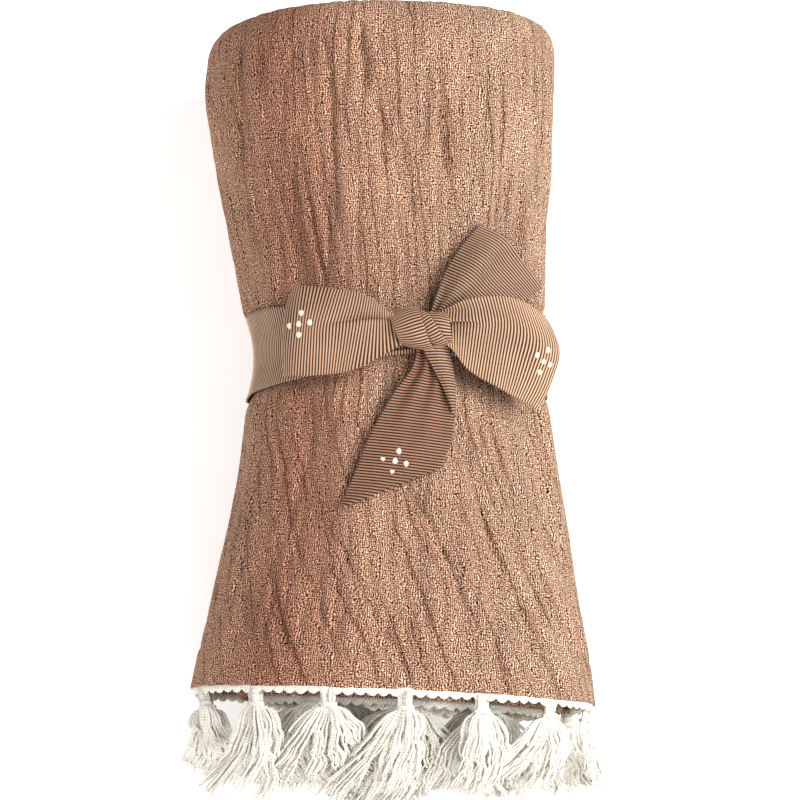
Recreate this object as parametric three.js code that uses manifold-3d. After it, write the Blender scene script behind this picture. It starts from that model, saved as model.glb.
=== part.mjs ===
// A swaddle blanket, folded in thirds, rolled up and tied at the waist with a ribbon bow.
// The roll lies on its side along Y: the folded head is at +Y, the hem with its tassels at -Y.
// Millimetres, +Z up. The origin is in the middle of the footprint, on the surface it lies on.

import * as THREE from "three";
import { mergeVertices } from "three/addons/utils/BufferGeometryUtils.js";
import Module from "manifold-3d";

const wasm = await Module();
wasm.setup();

const turn = Math.PI * 2;

// Driving dimensions.

const roll = {
  footY: -160,
  headY: 150,
  footSkew: -0.042, // the hem runs this much further out for each millimetre to the right
  roundness: 2.3, // power of the section's outline, 2 is an ellipse
  middle: 0.47, // height of the widest point, as a share of the section's height
  sag: 1.06, // the underside is this much deeper before it is flattened by the surface
  freeEdgeAngle: -38 * turn / 360, // where the loose long edge ends, low on the right
  columns: 56, // steps round one turn
  capTurns: 4, // turns that show at each end
  pitch: 0.222, // thickness of one turn, as a share of the section's radius
  edgeThickness: 0.45, // thickness of the loose edge, as a share of one turn
  lapDip: 0.13, // length of the dip under the loose edge, in turns
};

// Outline of the roll along its length: left, right, bottom and top of each section, the depth
// of its gathers, and how far the loose edge stands up, as a share of its full step.
const sections = [
  { y: -164, left: -92, right: 94, bottom: 0, top: 107.5, gather: 0.6, step: 1 },
  { y: -135, left: -86.5, right: 91, bottom: 0, top: 108.5, gather: 1.4, step: 1 },
  { y: -98, left: -77.5, right: 84.5, bottom: 0, top: 106.5, gather: 2.2, step: 0.9 },
  { y: -62, left: -71, right: 80.3, bottom: 1.5, top: 103.5, gather: 3.2, step: 0.7 },
  { y: -34, left: -68.6, right: 76.4, bottom: 4.5, top: 101.6, gather: 3.4, step: 0.5 },
  { y: -27, left: -67.3, right: 75.2, bottom: 5, top: 100.9, gather: 3, step: 0.42 },
  { y: -20, left: -64.6, right: 72.2, bottom: 6.5, top: 98.9, gather: 1.6, step: 0.36 },
  { y: -4, left: -62.6, right: 70.6, bottom: 8, top: 98, gather: 1.2, step: 0.35 },
  { y: 11, left: -65, right: 71.4, bottom: 6.5, top: 98.9, gather: 1.6, step: 0.36 },
  { y: 18, left: -69, right: 73.2, bottom: 4.5, top: 100.9, gather: 3, step: 0.42 },
  { y: 27, left: -71, right: 73.4, bottom: 4, top: 101.8, gather: 3.4, step: 0.5 },
  { y: 52, left: -75.7, right: 74, bottom: 1, top: 106, gather: 2.6, step: 0.7 },
  { y: 90, left: -82.7, right: 76.2, bottom: 0, top: 112, gather: 1.6, step: 0.9 },
  { y: 124, left: -87.2, right: 77.6, bottom: 0, top: 116, gather: 1, step: 1 },
  { y: 152, left: -85, right: 77, bottom: 0, top: 116, gather: 0.5, step: 1 },
];

// How far the outline draws in close to each end: round at the folded head, crisp at the hem.
const headRounding = [
  { y: 0, inset: 5.5 },
  { y: 1.5, inset: 2.6 },
  { y: 5, inset: 0.7 },
  { y: 11, inset: 0 },
];
const footRounding = [
  { y: 0, inset: 1.4 },
  { y: 3, inset: 0 },
];

// Rows of the roll's skin, as distances from the hem's end of the roll.
const skinRows = [
  0, 3, 14, 29, 45, 61, 77, 93, 109, 126, 133, 140, 156, 171, 178,
  187, 199, 212, 227, 244, 261, 277, 290, 299, 305, 308.5, 310,
];

// Main creases over the top of the roll, each a soft trough from one point to the next.
const creases = [
  { fromX: -15, fromY: 149, toX: -10, toY: 108, depth: 3.2, width: 4.5 },
  { fromX: -69, fromY: 144, toX: -68, toY: 80, depth: 1.8, width: 4.5 },
  { fromX: -26, fromY: 117, toX: -27, toY: 30, depth: 1.8, width: 4.5 },
  { fromX: -5, fromY: 99, toX: 9, toY: 50, depth: 1.8, width: 5 },
  { fromX: 16, fromY: 119, toX: 25, toY: 78, depth: 1.6, width: 5 },
  { fromX: -27, fromY: -85, toX: 8, toY: -156, depth: 2.4, width: 5 },
  { fromX: -46, fromY: -80, toX: -25, toY: -140, depth: 1.8, width: 5 },
  { fromX: 8, fromY: -70, toX: 35, toY: -130, depth: 2.4, width: 5 },
  { fromX: 31, fromY: -42, toX: 50, toY: -112, depth: 2.0, width: 5 },
  { fromX: 46, fromY: -117, toX: 64, toY: -146, depth: 1.8, width: 5 },
];

// The ends of the turns: each is a fold with a groove to the next turn.
const crossSteps = [0, 0.24, 0.76, 1];
const headTurns = { grooveDepth: 7, crest: 1.2, outBy: [0, 2.5, 0.5, -1, -2], steadyTurn: 0.5 };
const footTurns = { grooveDepth: 8, crest: 0.6, outBy: [0, 3.5, 2, 0.5, -1], steadyTurn: 0.75 };
const coreScale = 0.5;

const hemEdging = {
  gap: 0.3,
  scallopPitch: 5.2,
  valley: 2.6,
  peak: 4.6,
  outer: 0.985, // its two faces, as shares of the roll's radius
  inner: 0.95,
};

const ribbon = {
  width: 38,
  thickness: 1.2,
  gap: 0.45,
  bandY: -4, // middle of the band, along the roll
  bandSlant: 0.021, // the band runs this much towards the head for each millimetre to the right
  knotWidth: 14, // the band is gathered to this width under the knot
  knotRise: 0.8, // height that its gathers add there
  gatherReach: 75, // from the knot to where the band lies flat
};

const knot = { x: 13.7, y: -2, z: 106, halfLength: 14.5, halfWidth: 8.5, halfHeight: 7, turned: -0.16 };

// Rows across each loop of the bow, from the knot out to its fold and back underneath:
// the upper selvedge, the pleat along the middle, and the lower selvedge.
const leftLoop = [
  { upper: [11, 2, 107], pleat: [11, -1, 106], lower: [12, -5, 106] },
  { upper: [1, 5, 109], pleat: [2, 2, 107], lower: [5, -9, 107] },
  { upper: [-11, 13, 110], pleat: [-13, 3, 108], lower: [-17, -20, 106] },
  { upper: [-25, 16, 110], pleat: [-30, 0, 111], lower: [-31, -22, 105] },
  { upper: [-39, 18, 107], pleat: [-41, 0, 110], lower: [-43, -22, 103] },
  { upper: [-43, 19, 103], pleat: [-47, 1, 105], lower: [-47, -21, 98] },
  { upper: [-38, 17, 99], pleat: [-41, 1, 100], lower: [-42, -18, 95] },
  { upper: [-20, 12, 104], pleat: [-20, 2, 104.5], lower: [-20, -10, 103] },
  { upper: [2, 4, 105], pleat: [2, -1, 105], lower: [4, -6, 104.5] },
  { upper: [11, 2, 103.5], pleat: [11, -1, 103.5], lower: [11, -4, 103.5] },
];
const rightLoop = [
  { upper: [17, 3, 107], pleat: [17, -1, 106], lower: [17, -5, 106] },
  { upper: [25, 7, 109.5], pleat: [25, 4, 107], lower: [28, -8, 107] },
  { upper: [35, 10, 113], pleat: [36, 3, 110], lower: [35, -21, 107] },
  { upper: [50, 12, 114], pleat: [52, 1, 113], lower: [49, -29, 105] },
  { upper: [63, 10, 111], pleat: [66, -8, 113], lower: [60, -35, 102] },
  { upper: [73, 3, 104], pleat: [74, -10, 105], lower: [68, -35, 96] },
  { upper: [67, 6, 98], pleat: [69, -8, 98.5], lower: [62, -31, 93] },
  { upper: [47, 7, 104], pleat: [47, -5, 104], lower: [45, -19, 101] },
  { upper: [27, 4, 105.5], pleat: [27, -1, 105], lower: [27, -5, 105] },
  { upper: [18, 2, 103.5], pleat: [18, -1, 103.5], lower: [18, -4, 103.5] },
];

// Rows across each free end, from the knot to its cut end, with how far the left selvedge, the
// middle and the right selvedge stand off the cloth.
const upperTail = [
  { left: [17, 1], middle: [19, 0], right: [21, -1], lifts: [5, 5, 5] },
  { left: [20, 13], middle: [28, 10], right: [36, 5], lifts: [5, 5, 5] },
  { left: [24, 27], middle: [37, 20], right: [51, 11], lifts: [3, 4, 5] },
  { left: [31, 37], middle: [45, 30], right: [60, 17], lifts: [2, 2.4, 6.5] },
  { left: [39, 46], middle: [54, 36], right: [68, 24], lifts: [2, 2.6, 10] },
];
const lowerTail = [
  { left: [14, -3], middle: [19, -3], right: [24, -3], lifts: [5, 5, 5] },
  { left: [10, -18], middle: [19, -20], right: [28, -20], lifts: [3.6, 3.6, 3.6] },
  { left: [1, -31], middle: [15, -33], right: [28, -35], lifts: [2, 2.2, 2.2] },
  { left: [-9, -48], middle: [9, -49], right: [28, -50], lifts: [1.9, 1.9, 1.9] },
  { left: [-22, -81], middle: [1, -72], right: [23, -63], lifts: [2.1, 1.9, 2.2] },
];
const tailFlap = [
  { left: [16, -4], middle: [20, -4], right: [24, -4], lifts: [6, 6, 6] },
  { left: [19, -15], middle: [23, -15], right: [27.5, -15], lifts: [5, 5, 5] },
  { left: [24, -29], middle: [26, -30], right: [28.5, -30], lifts: [3.4, 3.4, 3.4] },
];

const tassel = {
  strands: 9,
  strandWidth: 1.85,
  strandHeight: 1.7,
  seat: 0.35, // gap between a tassel and what it hangs from
  rootScale: 0.94, // radius at which the outer tassels hang, as a share of the roll's
  spread: 24, // width of the fan at its ends
  reach: 43, // how far a tassel stands out over the hem
  sideReach: 30, // the same at the sides of the roll, where they hang down
  sideDrift: 7,
  sideFrom: 66,
  sideTo: 94,
  sideDrop: 16,
  sideSpread: 17,
  sway: 2.5,
  neck: 0.2, // length of the head, as a share of the whole
  rootDepth: 0.5, // how far a strand is sunk into the head
  rootPitch: 1.7, // between strands across the fan, where they leave the head
  rootLayer: 1.8, // the same through its thickness
  tipLayer: 0.5, // how far the upper and lower strands still lie apart at their ends
};

// How high the end of a tassel lies, for the height of its root.
const tasselTips = [
  { y: 0, height: 0 },
  { y: 6, height: 0 },
  { y: 22, height: 8 },
  { y: 38, height: 17 },
  { y: 56, height: 29 },
  { y: 76, height: 45 },
  { y: 92, height: 60 },
  { y: 108, height: 77 },
];

// The head of a tassel: radius at each share of its length, with the binding between the bulges.
const tasselHead = [
  { at: 0, radius: 2.1 },
  { at: 0.06, radius: 3 },
  { at: 0.12, radius: 2.1 },
  { at: 0.2, radius: 3.6 },
];

// Thickness along a strand, as a share of the strand's width: thin where it leaves the head.
const strandRadii = [0.34, 0.5, 2 / 3, 2 / 3];

// Tassels round each turn of the hem: the pitch along the hem and where the first one hangs.
const tasselTurns = [
  { turn: 0, pitch: 33.6, first: 13 },
  { turn: 1, pitch: 42, first: 26 },
  { turn: 2, pitch: 62, first: 40 },
];

// Small helpers.

const clamp = (value, low, high) => Math.min(Math.max(value, low), high);
const mix = (a, b, share) => a + (b - a) * share;

function ease(share) {
  const t = clamp(share, 0, 1);
  return t * t * (3 - 2 * t);
}

// A repeatable number from -1 to 1, for the unevenness of handwork.
function uneven(seed) {
  const value = Math.sin(seed * 127.1 + 11.7) * 43758.5453;
  return 2 * (value - Math.floor(value)) - 1;
}

// A smooth curve through one column of a table, read at y.
function readTable(rows, column, y) {
  const last = rows.length - 1;
  if (y <= rows[0].y) return rows[0][column];
  if (y >= rows[last].y) return rows[last][column];
  let k = 0;
  while (rows[k + 1].y < y) k += 1;
  const slope = (i) => {
    const before = rows[Math.max(i - 1, 0)];
    const after = rows[Math.min(i + 1, last)];
    return (after[column] - before[column]) / (after.y - before.y);
  };
  const span = rows[k + 1].y - rows[k].y;
  const t = (y - rows[k].y) / span;
  const blend = t * t * (3 - 2 * t);
  const bendStart = t * (1 - t) * (1 - t) * span * slope(k);
  const bendEnd = t * t * (t - 1) * span * slope(k + 1);
  return mix(rows[k][column], rows[k + 1][column], blend) + bendStart + bendEnd;
}

// Shape of the roll.

function sectionAt(y) {
  const left = readTable(sections, "left", y);
  const right = readTable(sections, "right", y);
  const bottom = Math.max(readTable(sections, "bottom", y), 0);
  const top = readTable(sections, "top", y);
  const centreX = (left + right) / 2;
  const middleZ = mix(bottom, top, roll.middle);
  return { y, bottom, top, centreX, middleZ, halfWidth: (right - left) / 2 };
}

// The section's plain outline at an angle, scaled towards its centre.
function outlinePoint(section, angle, scale) {
  const power = 2 / roll.roundness;
  const cosine = Math.cos(angle);
  const sine = Math.sin(angle);
  const across = Math.sign(cosine) * Math.abs(cosine) ** power;
  const along = Math.sign(sine) * Math.abs(sine) ** power;
  const reach = sine > 0 ? section.top - section.middleZ : (section.middleZ - section.bottom) * roll.sag;
  const z = Math.max(section.middleZ + reach * along, section.bottom);
  const x = section.centreX + section.halfWidth * across;
  return {
    x: mix(section.centreX, x, scale),
    z: mix(section.middleZ, z, scale),
  };
}

// Radius of the wound cloth, as a share of the section's, after this many turns inwards.
function windingScale(turns, step) {
  const edge = roll.pitch * roll.edgeThickness * step;
  if (turns <= 1) return 1 - edge * ease((turns - 1 + roll.lapDip) / roll.lapDip);
  const behind = turns - 1;
  const thickness = mix(edge, roll.pitch, ease(behind / 0.2));
  return windingScale(behind, step) - thickness;
}

const windingAngle = (turns) => roll.freeEdgeAngle + turns * turn;

function creaseDepth(x, y) {
  let depth = 0;
  for (const crease of creases) {
    const alongX = crease.toX - crease.fromX;
    const alongY = crease.toY - crease.fromY;
    const share = ((x - crease.fromX) * alongX + (y - crease.fromY) * alongY)
      / (alongX * alongX + alongY * alongY);
    const nearest = clamp(share, 0, 1);
    const distance = Math.hypot(
      x - crease.fromX - nearest * alongX,
      y - crease.fromY - nearest * alongY,
    );
    depth += crease.depth * Math.exp(-((distance / crease.width) ** 2));
  }
  return depth;
}

function gatherDepth(turns, y, gather) {
  const wide = Math.cos(turn * 9 * turns + 0.012 * y);
  const narrow = Math.cos(turn * 13 * turns - 0.02 * y + 1.3);
  return gather * (1 + 0.6 * wide + 0.4 * narrow) / 2;
}

function roundingAt(y) {
  const fromHead = readTable(headRounding, "inset", roll.headY - y);
  const fromFoot = readTable(footRounding, "inset", y - roll.footY);
  return Math.max(fromHead, 0) + Math.max(fromFoot, 0);
}

const skewAt = (x, y) => roll.footSkew * x * clamp((20 - y) / (20 - roll.footY), 0, 1);

// A point on the roll's skin, at a share of its outer turn.
function skinPoint(turns, y) {
  const section = sectionAt(y);
  const step = readTable(sections, "step", y);
  const gather = readTable(sections, "gather", y);
  const scale = windingScale(turns, step);
  const plain = outlinePoint(section, windingAngle(turns), scale);
  const outX = plain.x - section.centreX;
  const outZ = plain.z - section.middleZ;
  const radius = Math.hypot(outX, outZ);
  const offFloor = ease((plain.z - section.bottom) / 16);
  const onTop = ease((plain.z - section.middleZ) / 12);
  const inward = roundingAt(y)
    + gatherDepth(turns, y, gather) * offFloor
    + creaseDepth(plain.x, y) * onTop;
  const x = plain.x - outX / radius * inward;
  const z = Math.max(plain.z - outZ / radius * inward, section.bottom);
  return new THREE.Vector3(x, y + skewAt(x, y), z);
}

// Height of the roll's top over a point of the surface it lies on.
function topAt(x, y) {
  const section = sectionAt(y);
  const across = Math.min(Math.abs(x - section.centreX) / section.halfWidth, 0.995);
  const share = (1 - across ** roll.roundness) ** (1 / roll.roundness);
  return mix(section.middleZ, section.top, share);
}

// Meshes.

function meshGeometry(points, triangles) {
  const geometry = new THREE.BufferGeometry();
  const positions = points.flatMap((point) => [point.x, point.y, point.z]);
  geometry.setAttribute("position", new THREE.Float32BufferAttribute(positions, 3));
  geometry.setIndex(triangles.flat());
  return geometry;
}

// Blanket: one wound solid. Its skin has a column for each step round the outer turn, then the
// narrow face of the loose edge. Each end is a spiral of folds round a small core.

function skinRing(y) {
  const ring = [];
  for (let j = 0; j <= roll.columns; j += 1) ring.push(skinPoint(j / roll.columns, y));
  const outside = ring[0];
  const inside = ring[roll.columns];
  for (let k = crossSteps.length - 2; k > 0; k -= 1) {
    ring.push(outside.clone().lerp(inside, crossSteps[k]));
  }
  return ring;
}

// How far the winding stands out at an end of the roll, after this many turns inwards.
function turnReach(ends, turns) {
  const whole = Math.min(Math.floor(turns), ends.outBy.length - 2);
  const share = (turns - whole - ends.steadyTurn) / (1 - ends.steadyTurn);
  return mix(ends.outBy[whole], ends.outBy[whole + 1], ease(share));
}

function endPoint(ends, outward, endY, turns, scale, raised) {
  const section = sectionAt(endY);
  const inset = 1 - Math.max(roundingAt(endY), 0) / section.halfWidth;
  const spot = outlinePoint(section, windingAngle(turns), scale * inset);
  const height = raised ? ends.crest : -ends.grooveDepth;
  const y = endY + outward * (turnReach(ends, turns) + height);
  return new THREE.Vector3(spot.x, y + skewAt(spot.x, endY), spot.z);
}

function addEnd(points, triangles, ring, ends, outward, endY) {
  const columns = roll.columns;
  const steps = crossSteps.length - 1;
  const strips = roll.capTurns - 1;
  const index = new Map();
  const key = (j, q) => (q === steps ? `${j + columns},0` : `${j},${q}`);
  for (let j = 0; j <= columns; j += 1) index.set(key(j, 0), ring[j]);
  for (let q = 1; q < steps; q += 1) index.set(key(0, q), ring[columns + steps - q]);
  const place = (j, q) => {
    const name = key(j, q);
    if (!index.has(name)) {
      const turns = j / columns;
      const outer = windingScale(turns, 1);
      const inner = windingScale(turns + 1, 1);
      const scale = mix(outer, inner, crossSteps[q]);
      index.set(name, points.length);
      points.push(endPoint(ends, outward, endY, turns, scale, q > 0 && q < steps));
    }
    return index.get(name);
  };
  const face = (a, b, c) => triangles.push(outward < 0 ? [a, b, c] : [a, c, b]);
  for (let j = 0; j < strips * columns; j += 1) {
    for (let q = 0; q < steps; q += 1) {
      face(place(j, q), place(j + 1, q), place(j + 1, q + 1));
      face(place(j, q), place(j + 1, q + 1), place(j, q + 1));
    }
  }
  const rim = [];
  for (let j = strips * columns; j <= roll.capTurns * columns; j += 1) rim.push(place(j, 0));
  for (let q = steps - 1; q > 0; q -= 1) rim.push(place(strips * columns, q));
  const centre = new THREE.Vector3();
  for (const spot of rim) centre.addScaledVector(points[spot], 1 / rim.length);
  centre.y += outward * (ends.grooveDepth + ends.crest);
  const crest = rim.map((spot) => {
    points.push(points[spot].clone().lerp(centre, coreScale));
    return points.length - 1;
  });
  const hub = points.length;
  points.push(centre);
  for (let k = 0; k < rim.length; k += 1) {
    const next = (k + 1) % rim.length;
    face(rim[k], rim[next], crest[next]);
    face(rim[k], crest[next], crest[k]);
    face(crest[k], crest[next], hub);
  }
}

function blanketRoll() {
  const points = [];
  const triangles = [];
  const rings = skinRows.map((distance) => skinRing(roll.footY + distance).map((point) => {
    points.push(point);
    return points.length - 1;
  }));
  const around = rings[0].length;
  for (let i = 0; i + 1 < rings.length; i += 1) {
    for (let j = 0; j < around; j += 1) {
      const next = (j + 1) % around;
      triangles.push([rings[i][j], rings[i + 1][j], rings[i + 1][next]]);
      triangles.push([rings[i][j], rings[i + 1][next], rings[i][next]]);
    }
  }
  addEnd(points, triangles, rings[0], footTurns, -1, roll.footY);
  addEnd(points, triangles, rings[rings.length - 1], headTurns, 1, roll.headY);
  return meshGeometry(points, triangles);
}

// Hem: points along one turn of it, and its length.

function hemLine(firstTurn, scale) {
  const section = sectionAt(roll.footY);
  const samples = 240;
  const line = [];
  let length = 0;
  for (let k = 0; k <= samples; k += 1) {
    const turns = firstTurn + k / samples;
    const outer = windingScale(turns, 1);
    const middle = firstTurn > 0 ? outer - roll.pitch / 2 : outer * scale;
    const spot = outlinePoint(section, windingAngle(turns), middle);
    if (k > 0) length += Math.hypot(spot.x - line[k - 1].x, spot.z - line[k - 1].z);
    line.push({ x: spot.x, z: spot.z, length, turns });
  }
  return line;
}

function alongHem(line, length) {
  let k = 1;
  while (k < line.length - 1 && line[k].length < length) k += 1;
  const before = line[k - 1];
  const after = line[k];
  const share = (length - before.length) / (after.length - before.length);
  const step = Math.hypot(after.x - before.x, after.z - before.z);
  return {
    x: mix(before.x, after.x, share),
    z: mix(before.z, after.z, share),
    turns: mix(before.turns, after.turns, share),
    alongX: (after.x - before.x) / step,
    alongZ: (after.z - before.z) / step,
  };
}

// Edging: a strip round the outer turn of the hem, scalloped along its free side.
function edgingStrip() {
  const outer = hemLine(0, hemEdging.outer);
  const inner = hemLine(0, hemEdging.inner);
  const total = outer[outer.length - 1].length;
  const stations = 2 * Math.floor(total / hemEdging.scallopPitch);
  const points = [];
  const triangles = [];
  for (let k = 0; k <= stations; k += 1) {
    const share = (k + 0.5) / (stations + 1);
    const a = alongHem(outer, share * total);
    const b = alongHem(inner, share * inner[inner.length - 1].length);
    const depth = k % 2 === 0 ? hemEdging.valley : hemEdging.peak;
    for (const spot of [a, b]) {
      const stands = turnReach(footTurns, a.turns) + footTurns.crest + hemEdging.gap;
      const y = roll.footY + skewAt(spot.x, roll.footY) - stands;
      const z = Math.max(spot.z, 0);
      points.push(new THREE.Vector3(spot.x, y, z));
      points.push(new THREE.Vector3(spot.x, y - depth, z));
    }
  }
  const around = [0, 1, 3, 2];
  for (let k = 0; k < stations; k += 1) {
    for (let side = 0; side < 4; side += 1) {
      const a = k * 4 + around[side];
      const b = k * 4 + around[(side + 1) % 4];
      triangles.push([a, b + 4, b]);
      triangles.push([a, a + 4, b + 4]);
    }
  }
  const end = stations * 4;
  triangles.push([0, 3, 2]);
  triangles.push([0, 1, 3]);
  triangles.push([end, end + 3, end + 1]);
  triangles.push([end, end + 2, end + 3]);
  return meshGeometry(points, triangles);
}

// Solids for joining.

function solidOf(geometry) {
  const bare = geometry.clone();
  bare.deleteAttribute("normal");
  bare.deleteAttribute("uv");
  const merged = mergeVertices(bare, 1e-4);
  const mesh = new wasm.Mesh({
    numProp: 3,
    vertProperties: new Float32Array(merged.attributes.position.array),
    triVerts: new Uint32Array(merged.index.array),
  });
  const solid = new wasm.Manifold(mesh);
  if (solid.volume() > 0) return solid;
  const turned = new Uint32Array(merged.index.array).reverse();
  return new wasm.Manifold(new wasm.Mesh({
    numProp: 3,
    vertProperties: new Float32Array(merged.attributes.position.array),
    triVerts: turned,
  }));
}

function geometryOf(solid) {
  const mesh = solid.getMesh();
  const geometry = new THREE.BufferGeometry();
  geometry.setAttribute("position", new THREE.Float32BufferAttribute(mesh.vertProperties, 3));
  geometry.setIndex(Array.from(mesh.triVerts));
  return geometry;
}

const joined = (geometries) => geometryOf(
  geometries.map(solidOf).reduce((whole, piece) => whole.add(piece)),
);

// A sheet of cloth over a grid of points, from one height to another along its normals. A ring
// of rows closes on itself.
function thickSheet(rows, low, high, isRing) {
  const across = rows[0].length;
  const rowAt = (i) => {
    if (isRing) return rows[(i + rows.length) % rows.length];
    return rows[clamp(i, 0, rows.length - 1)];
  };
  const points = [];
  const triangles = [];
  rows.forEach((row, i) => row.forEach((point, j) => {
    const along = rowAt(i + 1)[j].clone().sub(rowAt(i - 1)[j]);
    const over = row[Math.min(j + 1, across - 1)].clone().sub(row[Math.max(j - 1, 0)]);
    const normal = over.cross(along).normalize();
    points.push(point.clone().addScaledVector(normal, high));
    points.push(point.clone().addScaledVector(normal, low));
  }));
  const spot = (i, j, side) => 2 * ((i % rows.length) * across + j) + side;
  const quad = (a, b, c, d) => triangles.push([a, b, c], [a, c, d]);
  const lastRow = isRing ? rows.length : rows.length - 1;
  for (let i = 0; i < lastRow; i += 1) {
    for (let j = 0; j + 1 < across; j += 1) {
      quad(spot(i, j, 0), spot(i, j + 1, 0), spot(i + 1, j + 1, 0), spot(i + 1, j, 0));
      quad(spot(i, j, 1), spot(i + 1, j, 1), spot(i + 1, j + 1, 1), spot(i, j + 1, 1));
    }
    quad(spot(i, 0, 0), spot(i + 1, 0, 0), spot(i + 1, 0, 1), spot(i, 0, 1));
    const edge = across - 1;
    quad(spot(i, edge, 0), spot(i, edge, 1), spot(i + 1, edge, 1), spot(i + 1, edge, 0));
  }
  if (!isRing) {
    const end = rows.length - 1;
    for (let j = 0; j + 1 < across; j += 1) {
      quad(spot(0, j, 0), spot(0, j, 1), spot(0, j + 1, 1), spot(0, j + 1, 0));
      quad(spot(end, j, 0), spot(end, j + 1, 0), spot(end, j + 1, 1), spot(end, j, 1));
    }
  }
  return meshGeometry(points, triangles);
}

// Smooth rows of points through the rows of a table, columns kept apart.
function smoothRows(columns, steps) {
  const curves = columns.map((column) => new THREE.CatmullRomCurve3(column, false, "centripetal"));
  const rows = [];
  for (let k = 0; k <= steps; k += 1) rows.push(curves.map((curve) => curve.getPoint(k / steps)));
  return rows;
}

// Ribbon tie: the band round the waist, the knot, two loops and two free ends.

function waistBand() {
  const rows = [];
  for (let j = 0; j < roll.columns - 1; j += 1) {
    const middle = skinPoint(j / roll.columns, ribbon.bandY);
    const onTop = middle.z > knot.z / 2 ? 1 : 0;
    const gathered = onTop * ease(1 - Math.abs(middle.x - knot.x) / ribbon.gatherReach);
    const half = mix(ribbon.width, ribbon.knotWidth, gathered) / 2;
    const y = ribbon.bandY + ribbon.bandSlant * middle.x;
    rows.push([y - half, y, y + half].map((edge) => {
      const point = skinPoint(j / roll.columns, edge);
      point.z += ribbon.knotRise * gathered;
      return point;
    }));
  }
  return thickSheet(rows, ribbon.gap, ribbon.gap + ribbon.thickness, true);
}

function bowKnot() {
  const geometry = new THREE.SphereGeometry(1, 12, 8);
  const position = geometry.attributes.position;
  const squared = (value) => Math.sign(value) * Math.abs(value) ** 0.75;
  for (let k = 0; k < position.count; k += 1) {
    position.setXYZ(
      k,
      squared(position.getX(k)) * knot.halfLength,
      squared(position.getY(k)) * knot.halfWidth,
      squared(position.getZ(k)) * knot.halfHeight,
    );
  }
  geometry.rotateZ(knot.turned);
  geometry.translate(knot.x, knot.y, knot.z);
  return geometry;
}

function bowLoop(table, steps) {
  const names = ["upper", "pleat", "lower"];
  const columns = names.map((name) => table.map((row) => new THREE.Vector3(...row[name])));
  const half = ribbon.thickness / 2;
  return thickSheet(smoothRows(columns, steps), -half, half, false);
}

function freeEnd(table, steps) {
  const names = ["left", "middle", "right"];
  const columns = names.map((name, k) => table.map((row) => {
    const [x, y] = row[name];
    return new THREE.Vector3(x, y, topAt(x, y) + row.lifts[k]);
  }));
  const half = ribbon.thickness / 2;
  return thickSheet(smoothRows(columns, steps), -half, half, false);
}

function ribbonTie() {
  return joined([
    waistBand(),
    bowKnot(),
    bowLoop(leftLoop, 16),
    bowLoop(rightLoop, 16),
    freeEnd(upperTail, 8),
    freeEnd(lowerTail, 9),
    freeEnd(tailFlap, 4),
  ]);
}

// Tassels.

// A solid tube of a few sides along a path, flat side down, with a radius at each point.
function tube(path, radii, sides, width, height) {
  const points = [];
  const triangles = [];
  path.forEach((point, i) => {
    const before = path[Math.max(i - 1, 0)];
    const after = path[Math.min(i + 1, path.length - 1)];
    const ahead = after.clone().sub(before).normalize();
    const across = new THREE.Vector3().crossVectors(ahead, new THREE.Vector3(0, 0, 1)).normalize();
    const above = new THREE.Vector3().crossVectors(across, ahead);
    for (let side = 0; side < sides; side += 1) {
      const angle = turn * ((side + 0.5) / sides - 0.25);
      points.push(point.clone()
        .addScaledVector(across, Math.cos(angle) * radii[i] * width)
        .addScaledVector(above, Math.sin(angle) * radii[i] * height));
    }
  });
  for (let i = 0; i + 1 < path.length; i += 1) {
    for (let side = 0; side < sides; side += 1) {
      const a = i * sides + side;
      const b = i * sides + (side + 1) % sides;
      triangles.push([a, b, b + sides], [a, b + sides, a + sides]);
    }
  }
  const end = (path.length - 1) * sides;
  for (let side = 1; side + 1 < sides; side += 1) {
    triangles.push([0, side + 1, side], [end, end + side, end + side + 1]);
  }
  return meshGeometry(points, triangles);
}

// The way a tassel lies: out over the hem, and down on to those below it.
function tasselLie(root, seed) {
  const section = sectionAt(roll.footY);
  const fromCentre = root.x - section.centreX;
  const side = ease((Math.abs(fromCentre) - tassel.sideFrom) / (tassel.sideTo - tassel.sideFrom));
  const rest = tassel.strandHeight / 3;
  const tip = Math.max(readTable(tasselTips, "height", root.z) - tassel.sideDrop * side, rest);
  const reach = mix(tassel.reach, tassel.sideReach, side);
  const spread = mix(tassel.spread, tassel.sideSpread, side);
  const level = ease((16 - tip) / 10);
  const fanX = mix(Math.abs(root.alongX), 1, level);
  const fanZ = mix(Math.abs(root.alongZ), 0, level) * Math.sign(root.alongX * root.alongZ || 1);
  const fan = new THREE.Vector3(fanX, 0, fanZ).normalize();
  const layer = new THREE.Vector3(-fan.z, 0, fan.x);
  const drift = Math.sign(fromCentre) * side * tassel.sideDrift + tassel.sway * uneven(seed);
  return { root, rest, reach, spread, fan, layer, drift, drop: root.z - tip };
}

function lieAt(lie, share) {
  const fall = share ** 1.5;
  return new THREE.Vector3(
    lie.root.x + lie.drift * fall,
    lie.root.y - lie.reach * share * (1.15 - 0.15 * share),
    Math.max(lie.root.z - lie.drop * fall, lie.rest),
  );
}

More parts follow.
